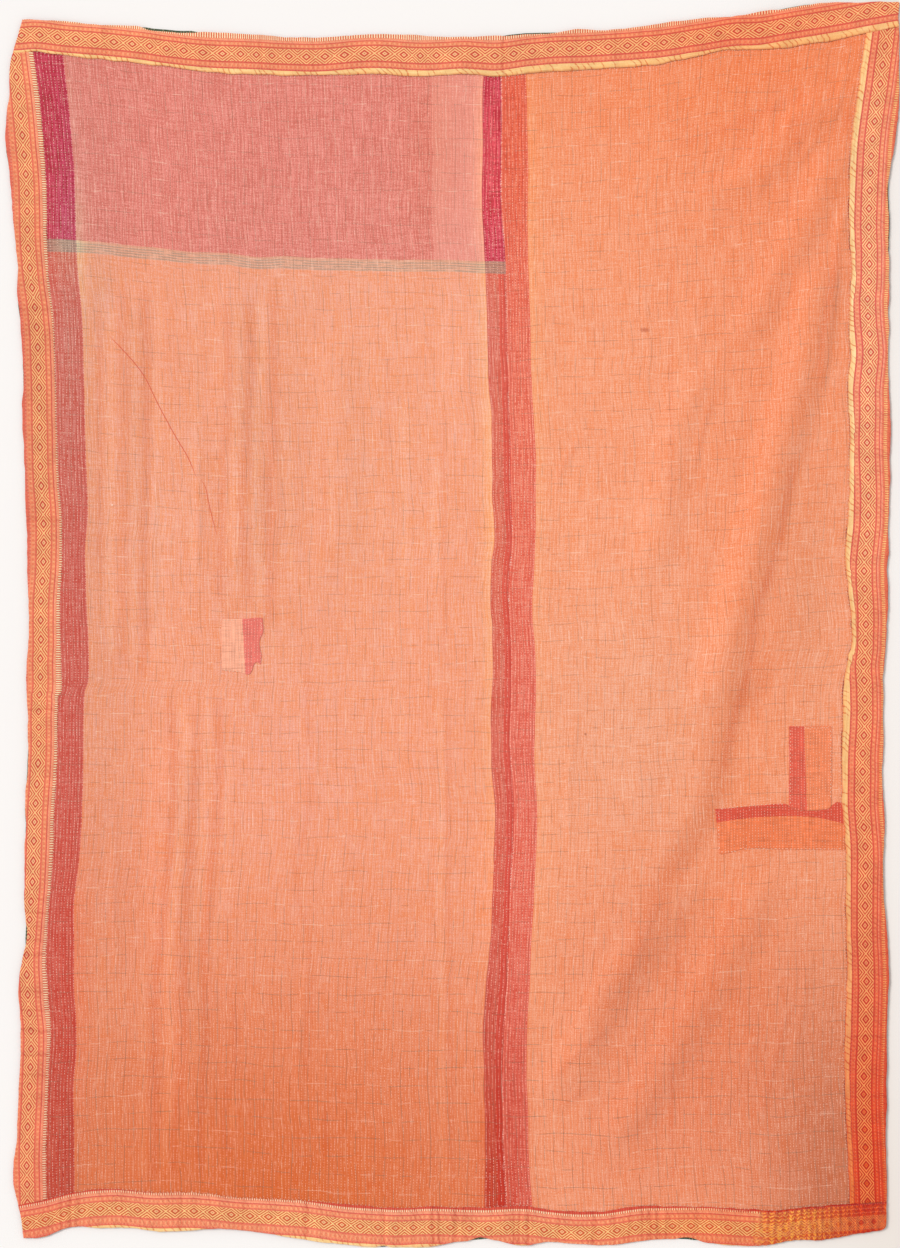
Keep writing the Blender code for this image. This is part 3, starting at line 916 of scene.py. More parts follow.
WEFT_ROWS, WARP_ROWS = 0.0039, 0.0033  # from one level or upright row of quilting to the next
CHECK_ACROSS, CHECK_DOWN = 0.0171, 0.0324  # from one dyed yarn of the checks to the next
BAND_FROM, PINK_FROM = 0.6905, 0.7135  # where the grey cross band and the pink end begin, up the cloth
PALE_YARN = (255, 216, 190)


def sari_cloth(name, stripes, pink_end, warp_share, ground, red):
    """Faded sari cloth. Stripes is a list of (first, last) across it, in metres. Warp_share says how much
    more its upright threads show than its level ones. Ground and red are pairs of colours that its threads
    mix."""
    surface = new_surface(name)
    u, v, place = surface.u, surface.v, surface.place

    streaks = noise(place, 520, 18, 1, 1)
    fine_streaks = noise(place, 900, 60, 2, 0)
    weft_streaks = noise(place, 22, 420, 3, 1)
    grain = noise(place, 330, 300, 5, 1)
    patchy = noise(place, 7, 5, 4, 1)
    share = step_up(streaks + (weft_streaks + grain - 1) * 0.6, 0.3, 0.7)

    stripe = 0.0
    for first, last in stripes:
        stripe = worked_out("MAXIMUM", stripe, between(u, first, last, 0.0006))
    ground_colour = mixed(*ground, share)
    red_colour = mixed(*red, share)
    if pink_end:
        end = step_up(v, PINK_FROM - 0.001, PINK_FROM)
        pale_end = between(u + (noise(place, 14, 40, 6, 1) - 0.5) * 0.012, 0.716, 0.86, 0.005)
        pink = mixed((216, 116, 100), (233, 138, 124), share)
        end_colour = mixed(pink, (240, 154, 136), pale_end * 0.62)
        ground_colour = mixed(ground_colour, end_colour, end)
        magenta = mixed((178, 32, 52), (206, 68, 90), share)
        seam_side = between(u, 0.8325, 0.85, 0.0006) * (1 - end)
        red_colour = coated(red_colour, (magenta, end), ((212, 66, 52), seam_side * 0.65))
    colour = mixed(ground_colour, red_colour, stripe)
    if pink_end:
        band = between(v, BAND_FROM, PINK_FROM, 0.0007)
        grey = step_up(repeated(v + noise(place, 5, 60, 7, 1) * 0.0012, 0.0048), 0.0004, 0.0016)
        grey = grey * step_up(noise(place, 40, 300, 14, 1), 0.30, 0.50)
        pale_band = mixed((230, 166, 136), (186, 118, 106), stripe)
        grey_band = mixed((184, 146, 124), (150, 98, 90), stripe)
        last_row = step_up(v, 0.7100, 0.7118) * (1 - stripe)
        band_colour = coated(pale_band, (grey_band, grey), ((238, 162, 130), last_row * 0.7))
        colour = mixed(colour, band_colour, band * 0.88)
    colour = times(colour, surface.tone)

    # Painted shade in the valleys between the rows of quilting, upright in some places and level in
    # others, and along the ribs of the stripes, with streaks of the yarn's own colour
    upright_rows = repeated(u, WARP_ROWS) * (2 / WARP_ROWS)
    level_rows = repeated(v, WEFT_ROWS) * (2 / WEFT_ROWS)
    level_share = step_up(patchy + (0.5 - warp_share), 0.35, 0.65)
    shade = (upright_rows - 0.5) * (0.13 - 0.07 * level_share)
    shade = shade + (level_rows - 0.5) * (0.03 + 0.09 * level_share)
    shade = shade + (streaks - 0.5) * 0.14 + (weft_streaks - 0.5) * 0.12 + (grain - 0.5) * 0.20
    ribbed = repeated(u + (noise(place, 30, 9, 15, 1) - 0.5) * 0.0016, 0.0056)
    rib = (step_up(ribbed, 0.0010, 0.0022) - 0.5) * stripe
    colour = paled_or_shaded(colour, shade - rib * 0.14 + (fine_streaks - 0.5) * (0.08 + 0.06 * stripe))
    pale_threads = step_up(fine_streaks, 0.62, 0.78) * step_up(noise(place, 60, 12, 8, 1), 0.40, 0.60)
    colour = mixed(colour, (255, 208, 184), pale_threads * (0.2 - 0.08 * stripe))

    # Checks of dyed yarn, dark and pale by turns
    upright = repeated(u - 0.0075 + (noise(place, 12, 9, 9, 1) - 0.5) * 0.008, CHECK_ACROSS)
    upright = step_up(upright, 0.0011, 0.0003)
    level = repeated(v + (noise(place, 9, 12, 10, 1) - 0.5) * 0.010, CHECK_DOWN)
    level = step_up(level, 0.0011, 0.0003)
    turns_up = noise(place, 59, 24, 11)
    turns_level = noise(place, 24, 31, 12)
    low = step_up(v, -0.35, -0.85)
    dark = upright * step_up(turns_up, 0.47 - 0.06 * low, 0.60 - 0.06 * low)
    dark = dark + level * step_up(turns_level, 0.46, 0.58)
    pale = upright * step_up(turns_up, 0.44, 0.34) * 0.6 + level * step_up(turns_level, 0.42, 0.32) * 0.8
    colour = mixed(colour, (142, 104, 84), dark * (0.33 + 0.13 * low - 0.06 * stripe))
    colour = mixed(colour, PALE_YARN, pale * (0.46 - 0.16 * low) * (1 - 0.4 * stripe))

    # Running stitches
    wandering = v + 0.004 * (weft_streaks - 0.5)
    thread, puff = running_stitches(u, wandering, 0.0064, 0.0047, 3)
    thread = thread * step_up(noise(place, 110, 150, 13), 0.30, 0.52)
    colour = mixed(colour, (255, 216, 198), thread * (0.50 + 0.2 * stripe))

    # Small stains and specks
    for spot_u, spot_v, size, tint, strength in SPOTS[name]:
        away = distance_to(place, (spot_u, spot_v))
        colour = mixed(colour, tint, step_up(away, size, size * 0.35) * strength)

    # Relief in metres
    relief = puff * 0.00028 + streaks * 0.00018 + weft_streaks * 0.00020
    relief = relief + woven_threads(u, v, 0.0009) * 0.00005 + level_rows * level_share * 0.00012
    return finish_surface(surface, colour, relief + thread * 0.0001, 0.78 + 0.12 * streaks)


# Stains and specks on the panels: place on the cloth, size, colour and strength.
SPOTS = {
    "left_panel_cloth": [
        (0.098, 0.227, 0.0022, (255, 230, 212), 0.6),
    ],
    "right_panel_cloth": [
        (0.2500, 0.5345, 0.0056, (196, 100, 66), 0.55),
        (0.2555, 0.5340, 0.0058, (190, 96, 64), 0.6),
        (0.2605, 0.5335, 0.0046, (200, 106, 72), 0.5),
        (0.142, -0.207, 0.0036, (176, 92, 56), 0.7),
        (0.133, -0.027, 0.0024, (255, 226, 206), 0.6),
        (0.073, 0.138, 0.0038, (206, 118, 84), 0.5),
    ],
}

# Bands of the woven border, as (distance in millimetres from the gold band's edge, colour).
RED_LINE, ORANGE, PALE_ORANGE, GOLD = (208, 66, 62), (240, 136, 96), (238, 134, 92), (248, 200, 132)
BORDER_STOPS = [
    # The stop at 10.1 is a painted shadow line beside the gold band. The dark stop at 0 is the hem, which
    # on the right strip also stands for painted shade under the hem.
    (0.0, (158, 64, 42)), (0.8, (246, 192, 122)), (9.6, GOLD), (10.1, (226, 104, 72)), (10.8, RED_LINE),
    (12.6, RED_LINE), (13.3, (240, 138, 98)), (20.6, ORANGE), (21.3, RED_LINE), (23.2, RED_LINE),
    (23.9, PALE_ORANGE), (50.4, PALE_ORANGE), (51.0, RED_LINE), (52.6, RED_LINE), (53.3, (242, 142, 98)),
    (58.6, (242, 142, 98)), (59.2, (222, 96, 78)), (60.6, (222, 96, 78)), (61.3, (243, 150, 112)),
    (64.6, (243, 150, 112)), (65.4, (232, 118, 80)), (74.0, (230, 112, 76)),
]
BROKEN_LINES = [(0.0107, 0.0127), (0.0511, 0.0526), (0.0213, 0.0232)]  # red lines that have gaps
SQUARED_BANDS = [(0.0148, 0.0194, 0.0006), (0.0543, 0.0580, 0.0005)]  # orange bands, with their softness
PLEATED_FROM = 30.3 * DIAMOND_PITCH * MM  # where the pleats of the bottom strip begin, along its weave
# The rings round each diamond's middle, where 1 is at its corners: place, half width and softness.
LATTICE_RINGS = [(0.64, 0.080, 0.035), (1.02, 0.090, 0.035), (1.42, 0.085, 0.035), (1.80, 0.070, 0.03)]
NOTCH_RINGS = [(0.83, 0.05, 0.03), (1.22, 0.06, 0.03), (1.61, 0.06, 0.03)]
DIAMOND_MIDDLE = 0.0370  # across the weave
DIAMOND_REACH = (0.0171, 0.0131)  # of one diamond, along and across


def worn_off(colour, worn):
    """A red line's colour where the cloth is worn: part of the way to the orange round it."""
    if colour != RED_LINE:
        return colour
    return tuple(red + (orange - red) * worn for red, orange in zip(RED_LINE, ORANGE))


def border_cloth(name, golden=False, worn=0.0, edged=False, pleated=False):
    """The woven border: bands along it, a row of diamonds in a lattice, and a gold band. The first
    coordinate runs along it and the second across it from the gold band's edge. Golden is a yellower
    lattice, worn is how much of its red lines is worn off, edged is a red selvedge instead of a fringe,
    and pleated is for the crinkled end of the bottom strip."""
    surface = new_surface(name, sheen=0.15, specular=0.25)
    u, v, place = surface.u, surface.v, surface.place
    pitch = DIAMOND_PITCH * MM
    weave = noise(place, 420, 520, 21, 1)
    across = v + (noise(place, 14, 5, 24) - 0.5) * 0.0016
    stops = [(at / BORDER_WIDTH, worn_off(c, worn)) for at, c in BORDER_STOPS]
    colour = ramp(across * (1000 / BORDER_WIDTH), stops)

    # Gaps in the red lines, and small squares along the orange bands
    gaps = step_up(repeated(u, pitch / 16), 0.0007, 0.0003)
    broken = sum(between(across, *line, 0.0003) for line in BROKEN_LINES)
    squares = step_up(repeated(u, pitch / 4), 0.0024, 0.0012)
    bands = sum(between(across, *band) for band in SQUARED_BANDS)
    colour = coated(
        colour,
        ((240, 136, 100), broken * gaps * 0.6),
        ((252, 176, 124), bands * squares * 0.5),
        ((222, 98, 64), bands * (1 - squares) * 0.3),
    )
    if edged:
        dotted = step_up(repeated(u, pitch / 8), 0.0016, 0.0006)
        dotted = dotted * between(across, 0.0655, 0.0697, 0.0005)
        colour = coated(
            colour,
            ((226, 106, 74), step_up(across, 0.0620, 0.0640) * 0.85),
            ((250, 196, 118), dotted * 0.8),
            ((196, 62, 50), step_up(across, 0.0724, 0.0736) * 0.8),
        )

    # Diamonds in a lattice of pale lines
    aside = distance(across, DIAMOND_MIDDLE)
    ring = repeated(u, pitch) * (1 / DIAMOND_REACH[0]) + aside * (1 / DIAMOND_REACH[1])
    in_band = step_up(aside, 0.0133, 0.0126)
    lattice = sum(line_at(ring, *line) for line in LATTICE_RINGS)
    lattice = worked_out("MINIMUM", lattice, 1.0) * in_band
    outline = line_at(ring, 0.40, 0.085, 0.03)
    first, *others = (line_at(ring, *line) for line in NOTCH_RINGS)
    notches = (first * 0.7 + sum(others)) * in_band
    red_line = (206, 78, 32) if golden else (200, 58, 46)
    colour = coated(
        colour,
        ((214, 84, 40) if golden else (226, 98, 68), in_band * 0.76),
        ((255, 222, 152) if golden else (255, 210, 146), lattice * 0.9),
        ((254, 204, 144), step_up(ring, 0.32, 0.24) * 0.75),
        (red_line, outline * 0.9),
        ((190, 72, 54), step_up(ring, 0.14, 0.06) * 0.75),
        (red_line, notches * 0.6),
    )

    # Fringe of cream ticks at the outer selvedge
    if not edged:
        ticks = step_up(repeated(u, pitch / 8), 0.0013, 0.0006)
        fringe = step_up(across, 0.0650, 0.0656)
        colour = mixed(colour, (255, 234, 190), fringe * ticks * 0.95)
        colour = mixed(colour, (208, 80, 52), fringe * (1 - ticks) * 0.45)

    if pleated:
        colour = mixed(colour, (212, 66, 46), step_up(across, 0.0683, 0.0689) * 0.9)
        # Where the strip is pleated, the pattern closes up into upright zigzags, brightened by painted
        # glints and darkened by painted shade across each pleat
        crinkled = u + (noise(place, 40, 40, 27, 1) - 0.5) * 0.03
        crinkled = step_up(crinkled, PLEATED_FROM - 0.010, PLEATED_FROM + 0.030)
        bent = u + (noise(place, 60, 110, 29, 1) - 0.5) * 0.010
        folded = repeated(bent, 0.0136) * (1 / 0.0068)
        zigzag = repeated(across + folded * 0.0046 + (weave - 0.5) * 0.0022, 0.0056) * (1 / 0.0028)
        uneven = (noise(place, 90, 90, 30, 1) - 0.5) * 1.3
        glint = step_up(zigzag + (folded - 0.5) * 0.6 + uneven, 0.30, 1.05)
        crinkle = mixed((204, 68, 20), (255, 168, 64), glint)
        crinkle = mixed(crinkle, (206, 72, 40), between(across, 0.0102, 0.0142, 0.0012) * 0.6)
        colour = mixed(colour, crinkle, crinkled * 0.84)

    # Gold band with its slanting puckers, whose creases are darkened with painted shade on the gold and
    # beside it
    gold = between(across, 0.0004, 0.0098, 0.0003)
    slanted = u + across * 0.8 + (noise(place, 24, 40, 23, 1) - 0.5) * 0.016
    pucker = step_up(repeated(slanted, 0.0112), 0.0019, 0.0004)
    pucker = pucker * step_up(noise(place, 46, 20, 28, 1), 0.36, 0.52)
    colour = coated(
        colour,
        ((226, 122, 62), gold * pucker * 0.9),
        ((200, 70, 44), (1 - gold) * pucker * (0.28 if golden or edged else 0.12)),
        ((255, 226, 162), gold * step_up(noise(place, 30, 400, 25, 1), 0.5, 0.7) * 0.4),
    )

    colour = times(colour, surface.tone)
    colour = mixed(colour, (248, 184, 108), lattice * 0.36)
    mottle = noise(place, 38, 38, 26, 1)
    grain = (weave - 0.5) * (0.5 - 0.3 * gold - 0.36 * in_band)
    colour = shaded(colour, 1 + grain + (mottle - 0.5) * 0.24)

    thread, puff = running_stitches(v, u, 0.0062, 0.0058, 5)
    colour = mixed(colour, (255, 220, 180), thread * (0.2 - 0.14 * in_band))
    relief = puff * (0.0002 - 0.0001 * in_band) + weave * (0.0003 - 0.00018 * in_band)
    relief = relief + in_band * outline * 0.00014 + lattice * 0.0001
    relief = relief + pucker * -0.0004 + woven_threads(u, v, 0.0008) * 0.00006
    return finish_surface(surface, colour, relief, 0.74 - 0.2 * gold + 0.1 * weave)


def backing_cloth(name):
    """Plain dark green cloth with the rows of stitches that come through it."""
    surface = new_surface(name)
    u, v, place = surface.u, surface.v, surface.place
    slub = noise(place, 240, 20, 31, 2)
    cross = noise(place, 20, 240, 32, 2)
    paler = noise(place, 6, 4, 33, 2)
    colour = mixed((48, 68, 50), (74, 92, 66), step_up(paler, 0.35, 0.65))
    colour = times(colour, surface.tone)
    colour = shaded(colour, 1 + (slub - 0.5) * 0.5 + (cross - 0.5) * 0.4)
    thread, puff = running_stitches(u, v, 0.0055, 0.0062, 7)
    colour = mixed(colour, (214, 196, 166), thread * 0.75)
    relief = puff * 0.00025 + slub * 0.00015 + cross * 0.00012 + woven_threads(u, v, 0.0009) * 0.00006
    return finish_surface(surface, colour, relief + thread * 0.00012, 0.82 + 0.1 * slub)


def patch_cloth(name, ground, red, red_here):
    """A mending patch cut from the same kind of cloth. red_here says where its red stripe lies."""
    surface = new_surface(name)
    u, v, place = surface.u, surface.v, surface.place
    streaks = noise(place, 520, 24, 41, 2)
    cross = noise(place, 24, 520, 42, 2)
    ragged = (noise(place, 160, 160, 43, 1) - 0.5) * 0.0022
    colour = mixed(ground, red, red_here(u + ragged, v + ragged))
    colour = times(colour, surface.tone)
    colour = shaded(colour, 1 + (streaks - 0.5) * 0.75 + (cross - 0.5) * 0.5)
    yarn = step_up(repeated(v + (cross - 0.5) * 0.003, 0.0310), 0.0009, 0.0003)
    yarn = yarn * step_up(noise(place, 24, 31, 44), 0.4, 0.6)
    colour = mixed(colour, (150, 84, 60), yarn * 0.45)
    thread, puff = running_stitches(u, v, 0.0056, 0.0049, 9)
    thread = thread * step_up(noise(place, 110, 150, 45), 0.32, 0.54)
    colour = mixed(colour, (255, 218, 196), thread * 0.55)
    relief = puff * 0.00025 + streaks * 0.00014 + cross * 0.00012 + woven_threads(u, v, 0.0008) * 0.00005
    return finish_surface(surface, colour, relief + thread * 0.0001, 0.8 + 0.1 * streaks)


def thread_material(name, colour):
    """Cotton thread, whose fine twisted fibres are lighter and darker by turns."""
    surface = new_surface(name, sheen=0.3)
    twist = noise(surface.place, 900, 900, 51, 1)
    plain = mixed(colour, colour, twist)  # the colour as a Field
    shown = shaded(plain, 0.85 + 0.3 * twist)
    return finish_surface(surface, shown, twist * 0.0002, 0.8 + 0.1 * twist)


# --------------------------------------------------------------------------------------- the cloths

# Where the lines down the panels lie on the flat cloth, in metres across it.
LEFT_U = {
    "left_edge": -0.068, "left_border": 0.0, "left_stripe": 0.052, "middle_stripe": 0.810, "seam": 0.845,
}
RIGHT_U = {"seam": 0.0, "right_stripe": 0.047, "right_border": 0.629, "right_edge": 0.703}


def with_rims(named, inwards):
    """Add a line close inside the first and the last of the named lines."""
    (first, first_label), (last, last_label) = named[0], named[-1]
    lines = [(first, first_label), (moved(first, inwards * EDGE_ROUNDING), first_label)]
    lines += named[1:-1]
    lines += [(moved(last, -inwards * EDGE_ROUNDING), last_label), (last, last_label)]
    return lines


def wander_of(x, y, seed):
    """Small wandering of the threads, in millimetres."""
    return 2.0 * soft_noise(x, y, 60, 75, seed) + 1.0 * soft_noise(x, y, 24, 30, seed + 1)


def add_panel(name, columns, sag, material, zones, marks, streaks=()):
    """A width of sari cloth, from the lines down it and the chart of its sagging weft."""
    down = with_rims([(LINES[line], label) for line, label in columns.items()], 1)
    level_lines = ("top_edge", "top_border", "bottom_border", "bottom_edge")
    across = with_rims([(LINES[line], 0) for line in level_lines], -1)
    x, y, u = net_of(down, across, PANEL_STEP_ACROSS, PANEL_STEP_DOWN)
    height = lift(x, y) + PANEL_LEVEL * LEVEL_RISE
    # The threads wander less along each panel's first red stripe
    u = u + wander_of(x, y, 61) * MM * (0.45 + 0.55 * smooth_step(np.abs(u - 0.03), 0.03, 0.06))
    v = (y - sag_of(sag, x, y) + wander_of(x, y, 63)) * MM
    # The tone holds the dye's changes, and painted shade along the right panel's folds and creases.
    tone = tone_at(zones, x, y, streaks=streaks, marks=marks)
    uv = np.stack([u, v], -1)
    return add_sheet(name, x, y, rounded(height + CLOTH, 0.35), height, uv, tone, material)


def tucked(side, along, away):
    """How deep the sharp tucks across a strip are at each point, from 0 to 1."""
    depth = np.zeros_like(along)
    for place, strength in TUCKS[side]:
        wander = 2.5 * soft_noise(away, along * 0 + place, 18, 1, 74)
        depth = np.maximum(depth, strength * np.clip(1 - np.abs(along - place - wander) / 4.5, 0, 1))
    return depth


SHARPNESS = {"left": 0.6, "right": 0.5, "top": 0.4, "bottom": 0.8}  # height of the small creases
SEWN_EDGE_LINE_AND_SHADE = {"left": 0.1, "right": 0.8, "top": 0.5, "bottom": 0.3}  # how dark the sewn edge is: a darker seam line with painted shade under the hem
SEWN_EDGE_LINE_AND_SHADE_TINT = np.array([0.16, 0.62, 0.66])  # the full change of red, green and blue at that edge
TUCK_DEPTH = 0.9
TUCK_SHADE = np.array([0.16, 0.34, 0.36])  # painted shade in the tucks: how much darker they are
BOTTOM_TUCK_SHADE = np.array([0.22, 0.46, 0.50])
PLEAT_HEIGHT = 2.6
PLEAT_VALLEY_SHADE = np.array([0.16, 0.34, 0.40])  # painted shade in the valleys between the pleats: how much darker they are
PLEATED_TINT = np.array([0.10, 0.40, 0.45])  # how much paler the pleated end is


def add_border(name, side, material, zones):
    """A border strip, whose coordinates on the weave follow the charted diamonds and drifts."""
    inner = LINES[side + "_border"]
    upright = side in ("left", "right")
    lines = [(LINES[side + "_edge"], 0), (LINES[side + "_border_pinched"], 0)]
    if side in ("right", "bottom"):
        lines.reverse()
    if upright:
        ends = [(moved(LINES["top_border"], 0.3), 0), (moved(LINES["bottom_border"], -0.3), 0)]
        x, y, _ = net_of(with_rims(lines, 1), with_rims(ends, -1), BORDER_STEP, BORDER_STEP)
        along, away = y, np.abs(x - inner(y))
        creased = soft_noise(y, x, 15, 90, 71)
    else:
        ends = [(LINES["left_edge"], 0), (LINES["right_edge"], 0)]
        x, y, _ = net_of(with_rims(ends, 1), with_rims(lines, -1), BORDER_STEP, BORDER_STEP)
        along, away = x, np.abs(y - inner(x))
        creased = soft_noise(x, y, 13, 90, 72)
    height = lift(x, y) + TRIM_LEVEL * LEVEL_RISE
    height += SHARPNESS[side] * np.clip(1 - 3 * np.abs(creased), 0, 1) ** 2
    height += 0.5 * np.clip(soft_noise(x, y, 22, 22, 73), 0, 1)
    tone = tone_at(zones, x, y, 0.05, 54)
    depth = tucked(side, along, away)
    height += TUCK_DEPTH * (1 - depth)
    # Painted shade in the tucks' creases
    tone *= 1 - depth[..., None] * (BOTTOM_TUCK_SHADE if side == "bottom" else TUCK_SHADE)
    # The sewn inner edge is darkened: a darker seam line with painted shade under the hem
    rim = {"left": tone[:, -2:], "right": tone[:, :2], "top": tone[-2:], "bottom": tone[:3]}[side]
    deep = SEWN_EDGE_LINE_AND_SHADE[side]
    if side == "bottom":
        deep = deep + 0.9 * smooth_step(x[:3], 430, 600)[..., None]
    rim *= 1 - deep * SEWN_EDGE_LINE_AND_SHADE_TINT
    if side == "left":
        # This strip sinks to the panel at its inner edge
        height -= LEVEL_RISE * smooth_step(away, 9, 0)
    if side == "bottom":
        phase = (x + 5 * soft_noise(x, y, 30, 40, 75)) / PLEAT_PITCH * np.pi
        ridge = np.cos(phase) ** 2
        here = smooth_step(x, PLEATS_FROM - 6, PLEATS_FROM + 14)
        height += here * (PLEAT_HEIGHT * ridge - 0.5)
        # Painted shade in the valleys between the pleats
        shade = here * (1 - ridge) * (0.7 + 0.3 * soft_noise(x, y, 20, 25, 76))
        tone *= 1 - shade[..., None] * PLEAT_VALLEY_SHADE
        tone *= 1 + here[..., None] * PLEATED_TINT
    u = charted(DIAMONDS[side])(along) * DIAMOND_PITCH
    v = np.interp(away - charted(DRIFTS[side])(along), *WEAVE_ACROSS[side])
    if side == "right":
        # The gold band keeps its place and its width where the rest of the weave has drifted
        steady = np.interp(away, *WEAVE_ACROSS[side])
        v = np.where(away < GOLD_WIDTH, np.clip(v, np.minimum(steady, 1.5), steady), v)
    uv = np.stack([u, v], -1) * MM
    return add_sheet(name, x, y, rounded(height + CLOTH), height, uv, tone, material)


def add_backing(material):
    """The one cloth under everything, which lies on the floor."""
    down = [(LINES["left_backing"], 0), (LINES["right_backing"], 0)]
    across = [(LINES["top_backing"], 0), (LINES["bottom_backing"], 0)]
    x, y, _ = net_of(down, across, BACKING_STEP, BACKING_STEP)
    height = lift(x, y)
    uv = np.stack([x, y], -1) * MM
    tone = np.ones((*x.shape, 3))
    top = height + BACKING_CLOTH
    return add_sheet("backing_sheet", x, y, top, height, uv, tone, material, closed=True)


# Boxes of the patches, in millimetres.
LEFT_PATCH = {"left": -426, "right": -349, "top": 12, "bottom": -90}
UPPER_PATCH = {"left": 624, "right": 704, "top": -190, "bottom": -338}
LOWER_PATCH = {"left": 489, "right": 727, "top": -338, "bottom": -421}

# Edges of the small patch, with the ragged end of its red stripe.
SMALL_RIGHT = [(20, -350), (-20, -350.5), (-25, -353), (-60, -351.5), (-95, -353.5)]
SMALL_BOTTOM = [
    (-430, -84), (-392, -88), (-384, -90.5), (-373, -91.5), (-370, -89), (-368, -81.5), (-345, -79.5),
]
# The edge where the two right patches meet, and the lower one's free edges.
PATCH_JOIN = [
    (480, -341.5), (489, -341), (530, -338), (575, -334), (610, -331), (618, -331.5), (626, -337),
    (634, -341.5), (656, -344), (668, -344), (688, -342), (699, -339.5), (705, -333), (711, -328.5),
    (718, -328.5), (735, -339),
]
LOWER_LEFT = [(-330, 486), (-365, 490), (-424, 495)]
LOWER_BOTTOM = [(480, -424), (510, -423), (530, -417), (620, -416), (735, -417)]


def lower_bow(u):
    """How far the red stripe of the lower patch sinks towards its ends, across the patch."""
    away = u - 0.140
    return away * away * (0.62 + 0.9 * step_up(away, 0, 0.06))


def add_patch(name, box, material, edges):
    """A patch, from the lines that its edges follow."""
    left, right, top, bottom = edges
    down = with_rims([(left, 0), (right, 0)], 1)
    across = with_rims([(top, 0), (bottom, 0)], -1)
    middle = ((box["left"] + box["right"]) / 2, (box["top"] + box["bottom"]) / 2)
    x, y, _ = net_of(down, across, PATCH_STEP, PATCH_STEP, middle)
    height = lift(x, y) + TRIM_LEVEL * LEVEL_RISE
    height += 0.35 * np.clip(soft_noise(x, y, 9, 9, 81), 0, 1)
    uv = np.stack([x - box["left"], box["top"] - y], -1) * MM
    tone = tone_at([], x, y, 0.04, 56)
    return add_sheet(name, x, y, rounded(height + CLOTH * 0.9), height, uv, tone, material)


def wavy(place, size, seed, tall=0.8):
    """A line at one place across its run, with small waves."""
    return lambda at: place + tall * noise_along(at, size, seed)


# ------------------------------------------------------------------------------------ hand stitches

# Rings of points along a stitch: place from end to end, and thickness.
STITCH_RINGS = [(-1.0, 0.5), (-0.55, 0.95), (0.0, 1.0), (0.55, 0.95), (1.0, 0.5)]
STITCH_SIDES = 6


def reach_along(path):
    """The distance of each of a path's points from its start."""
    return np.concatenate([[0], np.cumsum(np.hypot(*np.diff(path, axis=0).T))])


def stitches_along(line_points, level, spacing, length, width, rng, slant=0.0):
    """Short raised threads along a path, as points and faces."""
    path = np.asarray(line_points, float)
    reach = reach_along(path)
    count = max(1, int(reach[-1] / spacing))
    at = (np.arange(count) + 0.5 + rng.uniform(-0.12, 0.12, count)) * spacing
    x = np.interp(at, reach, path[:, 0])
    y = np.interp(at, reach, path[:, 1])
    ahead_x = np.interp(at + 1, reach, path[:, 0]) - np.interp(at - 1, reach, path[:, 0])
    ahead_y = np.interp(at + 1, reach, path[:, 1]) - np.interp(at - 1, reach, path[:, 1])
    angle = np.arctan2(ahead_y, ahead_x) + slant + rng.normal(0, 0.1, count)
    out = np.arctan2(ahead_y, ahead_x) + np.pi / 2
    shift = rng.normal(0, 0.25, count)
    x += np.cos(out) * shift
    y += np.sin(out) * shift
    half = length / 2 * rng.uniform(0.8, 1.15, count)
    z = lift(x, y) + level * LEVEL_RISE + CLOTH

    t, thick = np.array(STITCH_RINGS).T[..., None]
    turn = np.arange(STITCH_SIDES) / STITCH_SIDES * 2 * np.pi
    side = np.cos(turn) * thick * width / 2
    up = np.sin(turn) * thick * width / 2 * 0.8
    arch = 0.28 * (1 - t**2) - 0.05
    x, y, z, angle, half = (each[:, None, None] for each in (x, y, z, angle, half))
    along = t * half
    px = x + np.cos(angle) * along - np.sin(angle) * side
    py = y + np.sin(angle) * along + np.cos(angle) * side
    pz = z + arch + up
    return tubes(np.stack(np.broadcast_arrays(px, py, pz), -1))


def tubes(points):
    """Faces round tubes, from their points as (tube, ring, point of the ring)."""
    index = np.arange(points[..., 0].size).reshape(points.shape[:-1])
    near = index[:, :-1]
    far = index[:, 1:]
    faces = np.stack([near, np.roll(near, -1, 2), np.roll(far, -1, 2), far], -1)
    return points.reshape(-1, 3), faces.reshape(-1, 4)


def add_threads(name, runs, material):
    """One mesh of several runs of threads."""
    starts = np.cumsum([0] + [len(points) for points, _faces in runs])
    points = (np.concatenate([points for points, _faces in runs]) - np.array([SHIFT_X, SHIFT_Y, 0])) * MM
    faces = np.concatenate([faces + start for (_points, faces), start in zip(runs, starts)])
    return new_object(name, points, faces, points[:, :2], np.ones_like(points), material)


def thread_tube(path_points, radius):
    """A pulled thread as a tube that lies on a panel."""
    path = np.asarray(path_points, float)
    reach = reach_along(path)
    at = np.linspace(0, reach[-1], max(8, int(reach[-1] / 3)))
    x = smooth_curve(reach, path[:, 0], at)
    y = smooth_curve(reach, path[:, 1], at)
    angle = np.arctan2(np.gradient(y), np.gradient(x))
    z = lift(x, y) + PANEL_LEVEL * LEVEL_RISE + CLOTH + 0.1
    ends = np.minimum(at, reach[-1] - at)
    thick = radius * (0.35 + 0.65 * smooth_step(ends, 0, 30))
    turn = np.arange(STITCH_SIDES) / STITCH_SIDES * 2 * np.pi
    x, y, z, angle, thick = (each[:, None] for each in (x, y, z, angle, thick))
    px = x - np.sin(angle) * np.cos(turn) * thick
    py = y + np.cos(angle) * np.cos(turn) * thick
    pz = z + np.sin(turn) * thick * 0.7
    return tubes(np.stack([px, py, pz], -1)[None])


def path_along(name, first, last, aside):
    """Points along one of the quilt's lines, a little to one side of it."""
    line = LINES[name]
    at = np.linspace(first, last, max(3, int(abs(first - last) / 8)))
    path = [line(at) + aside, at]
    if name.startswith(("top", "bottom")):
        path.reverse()
    return np.stack(path, 1)


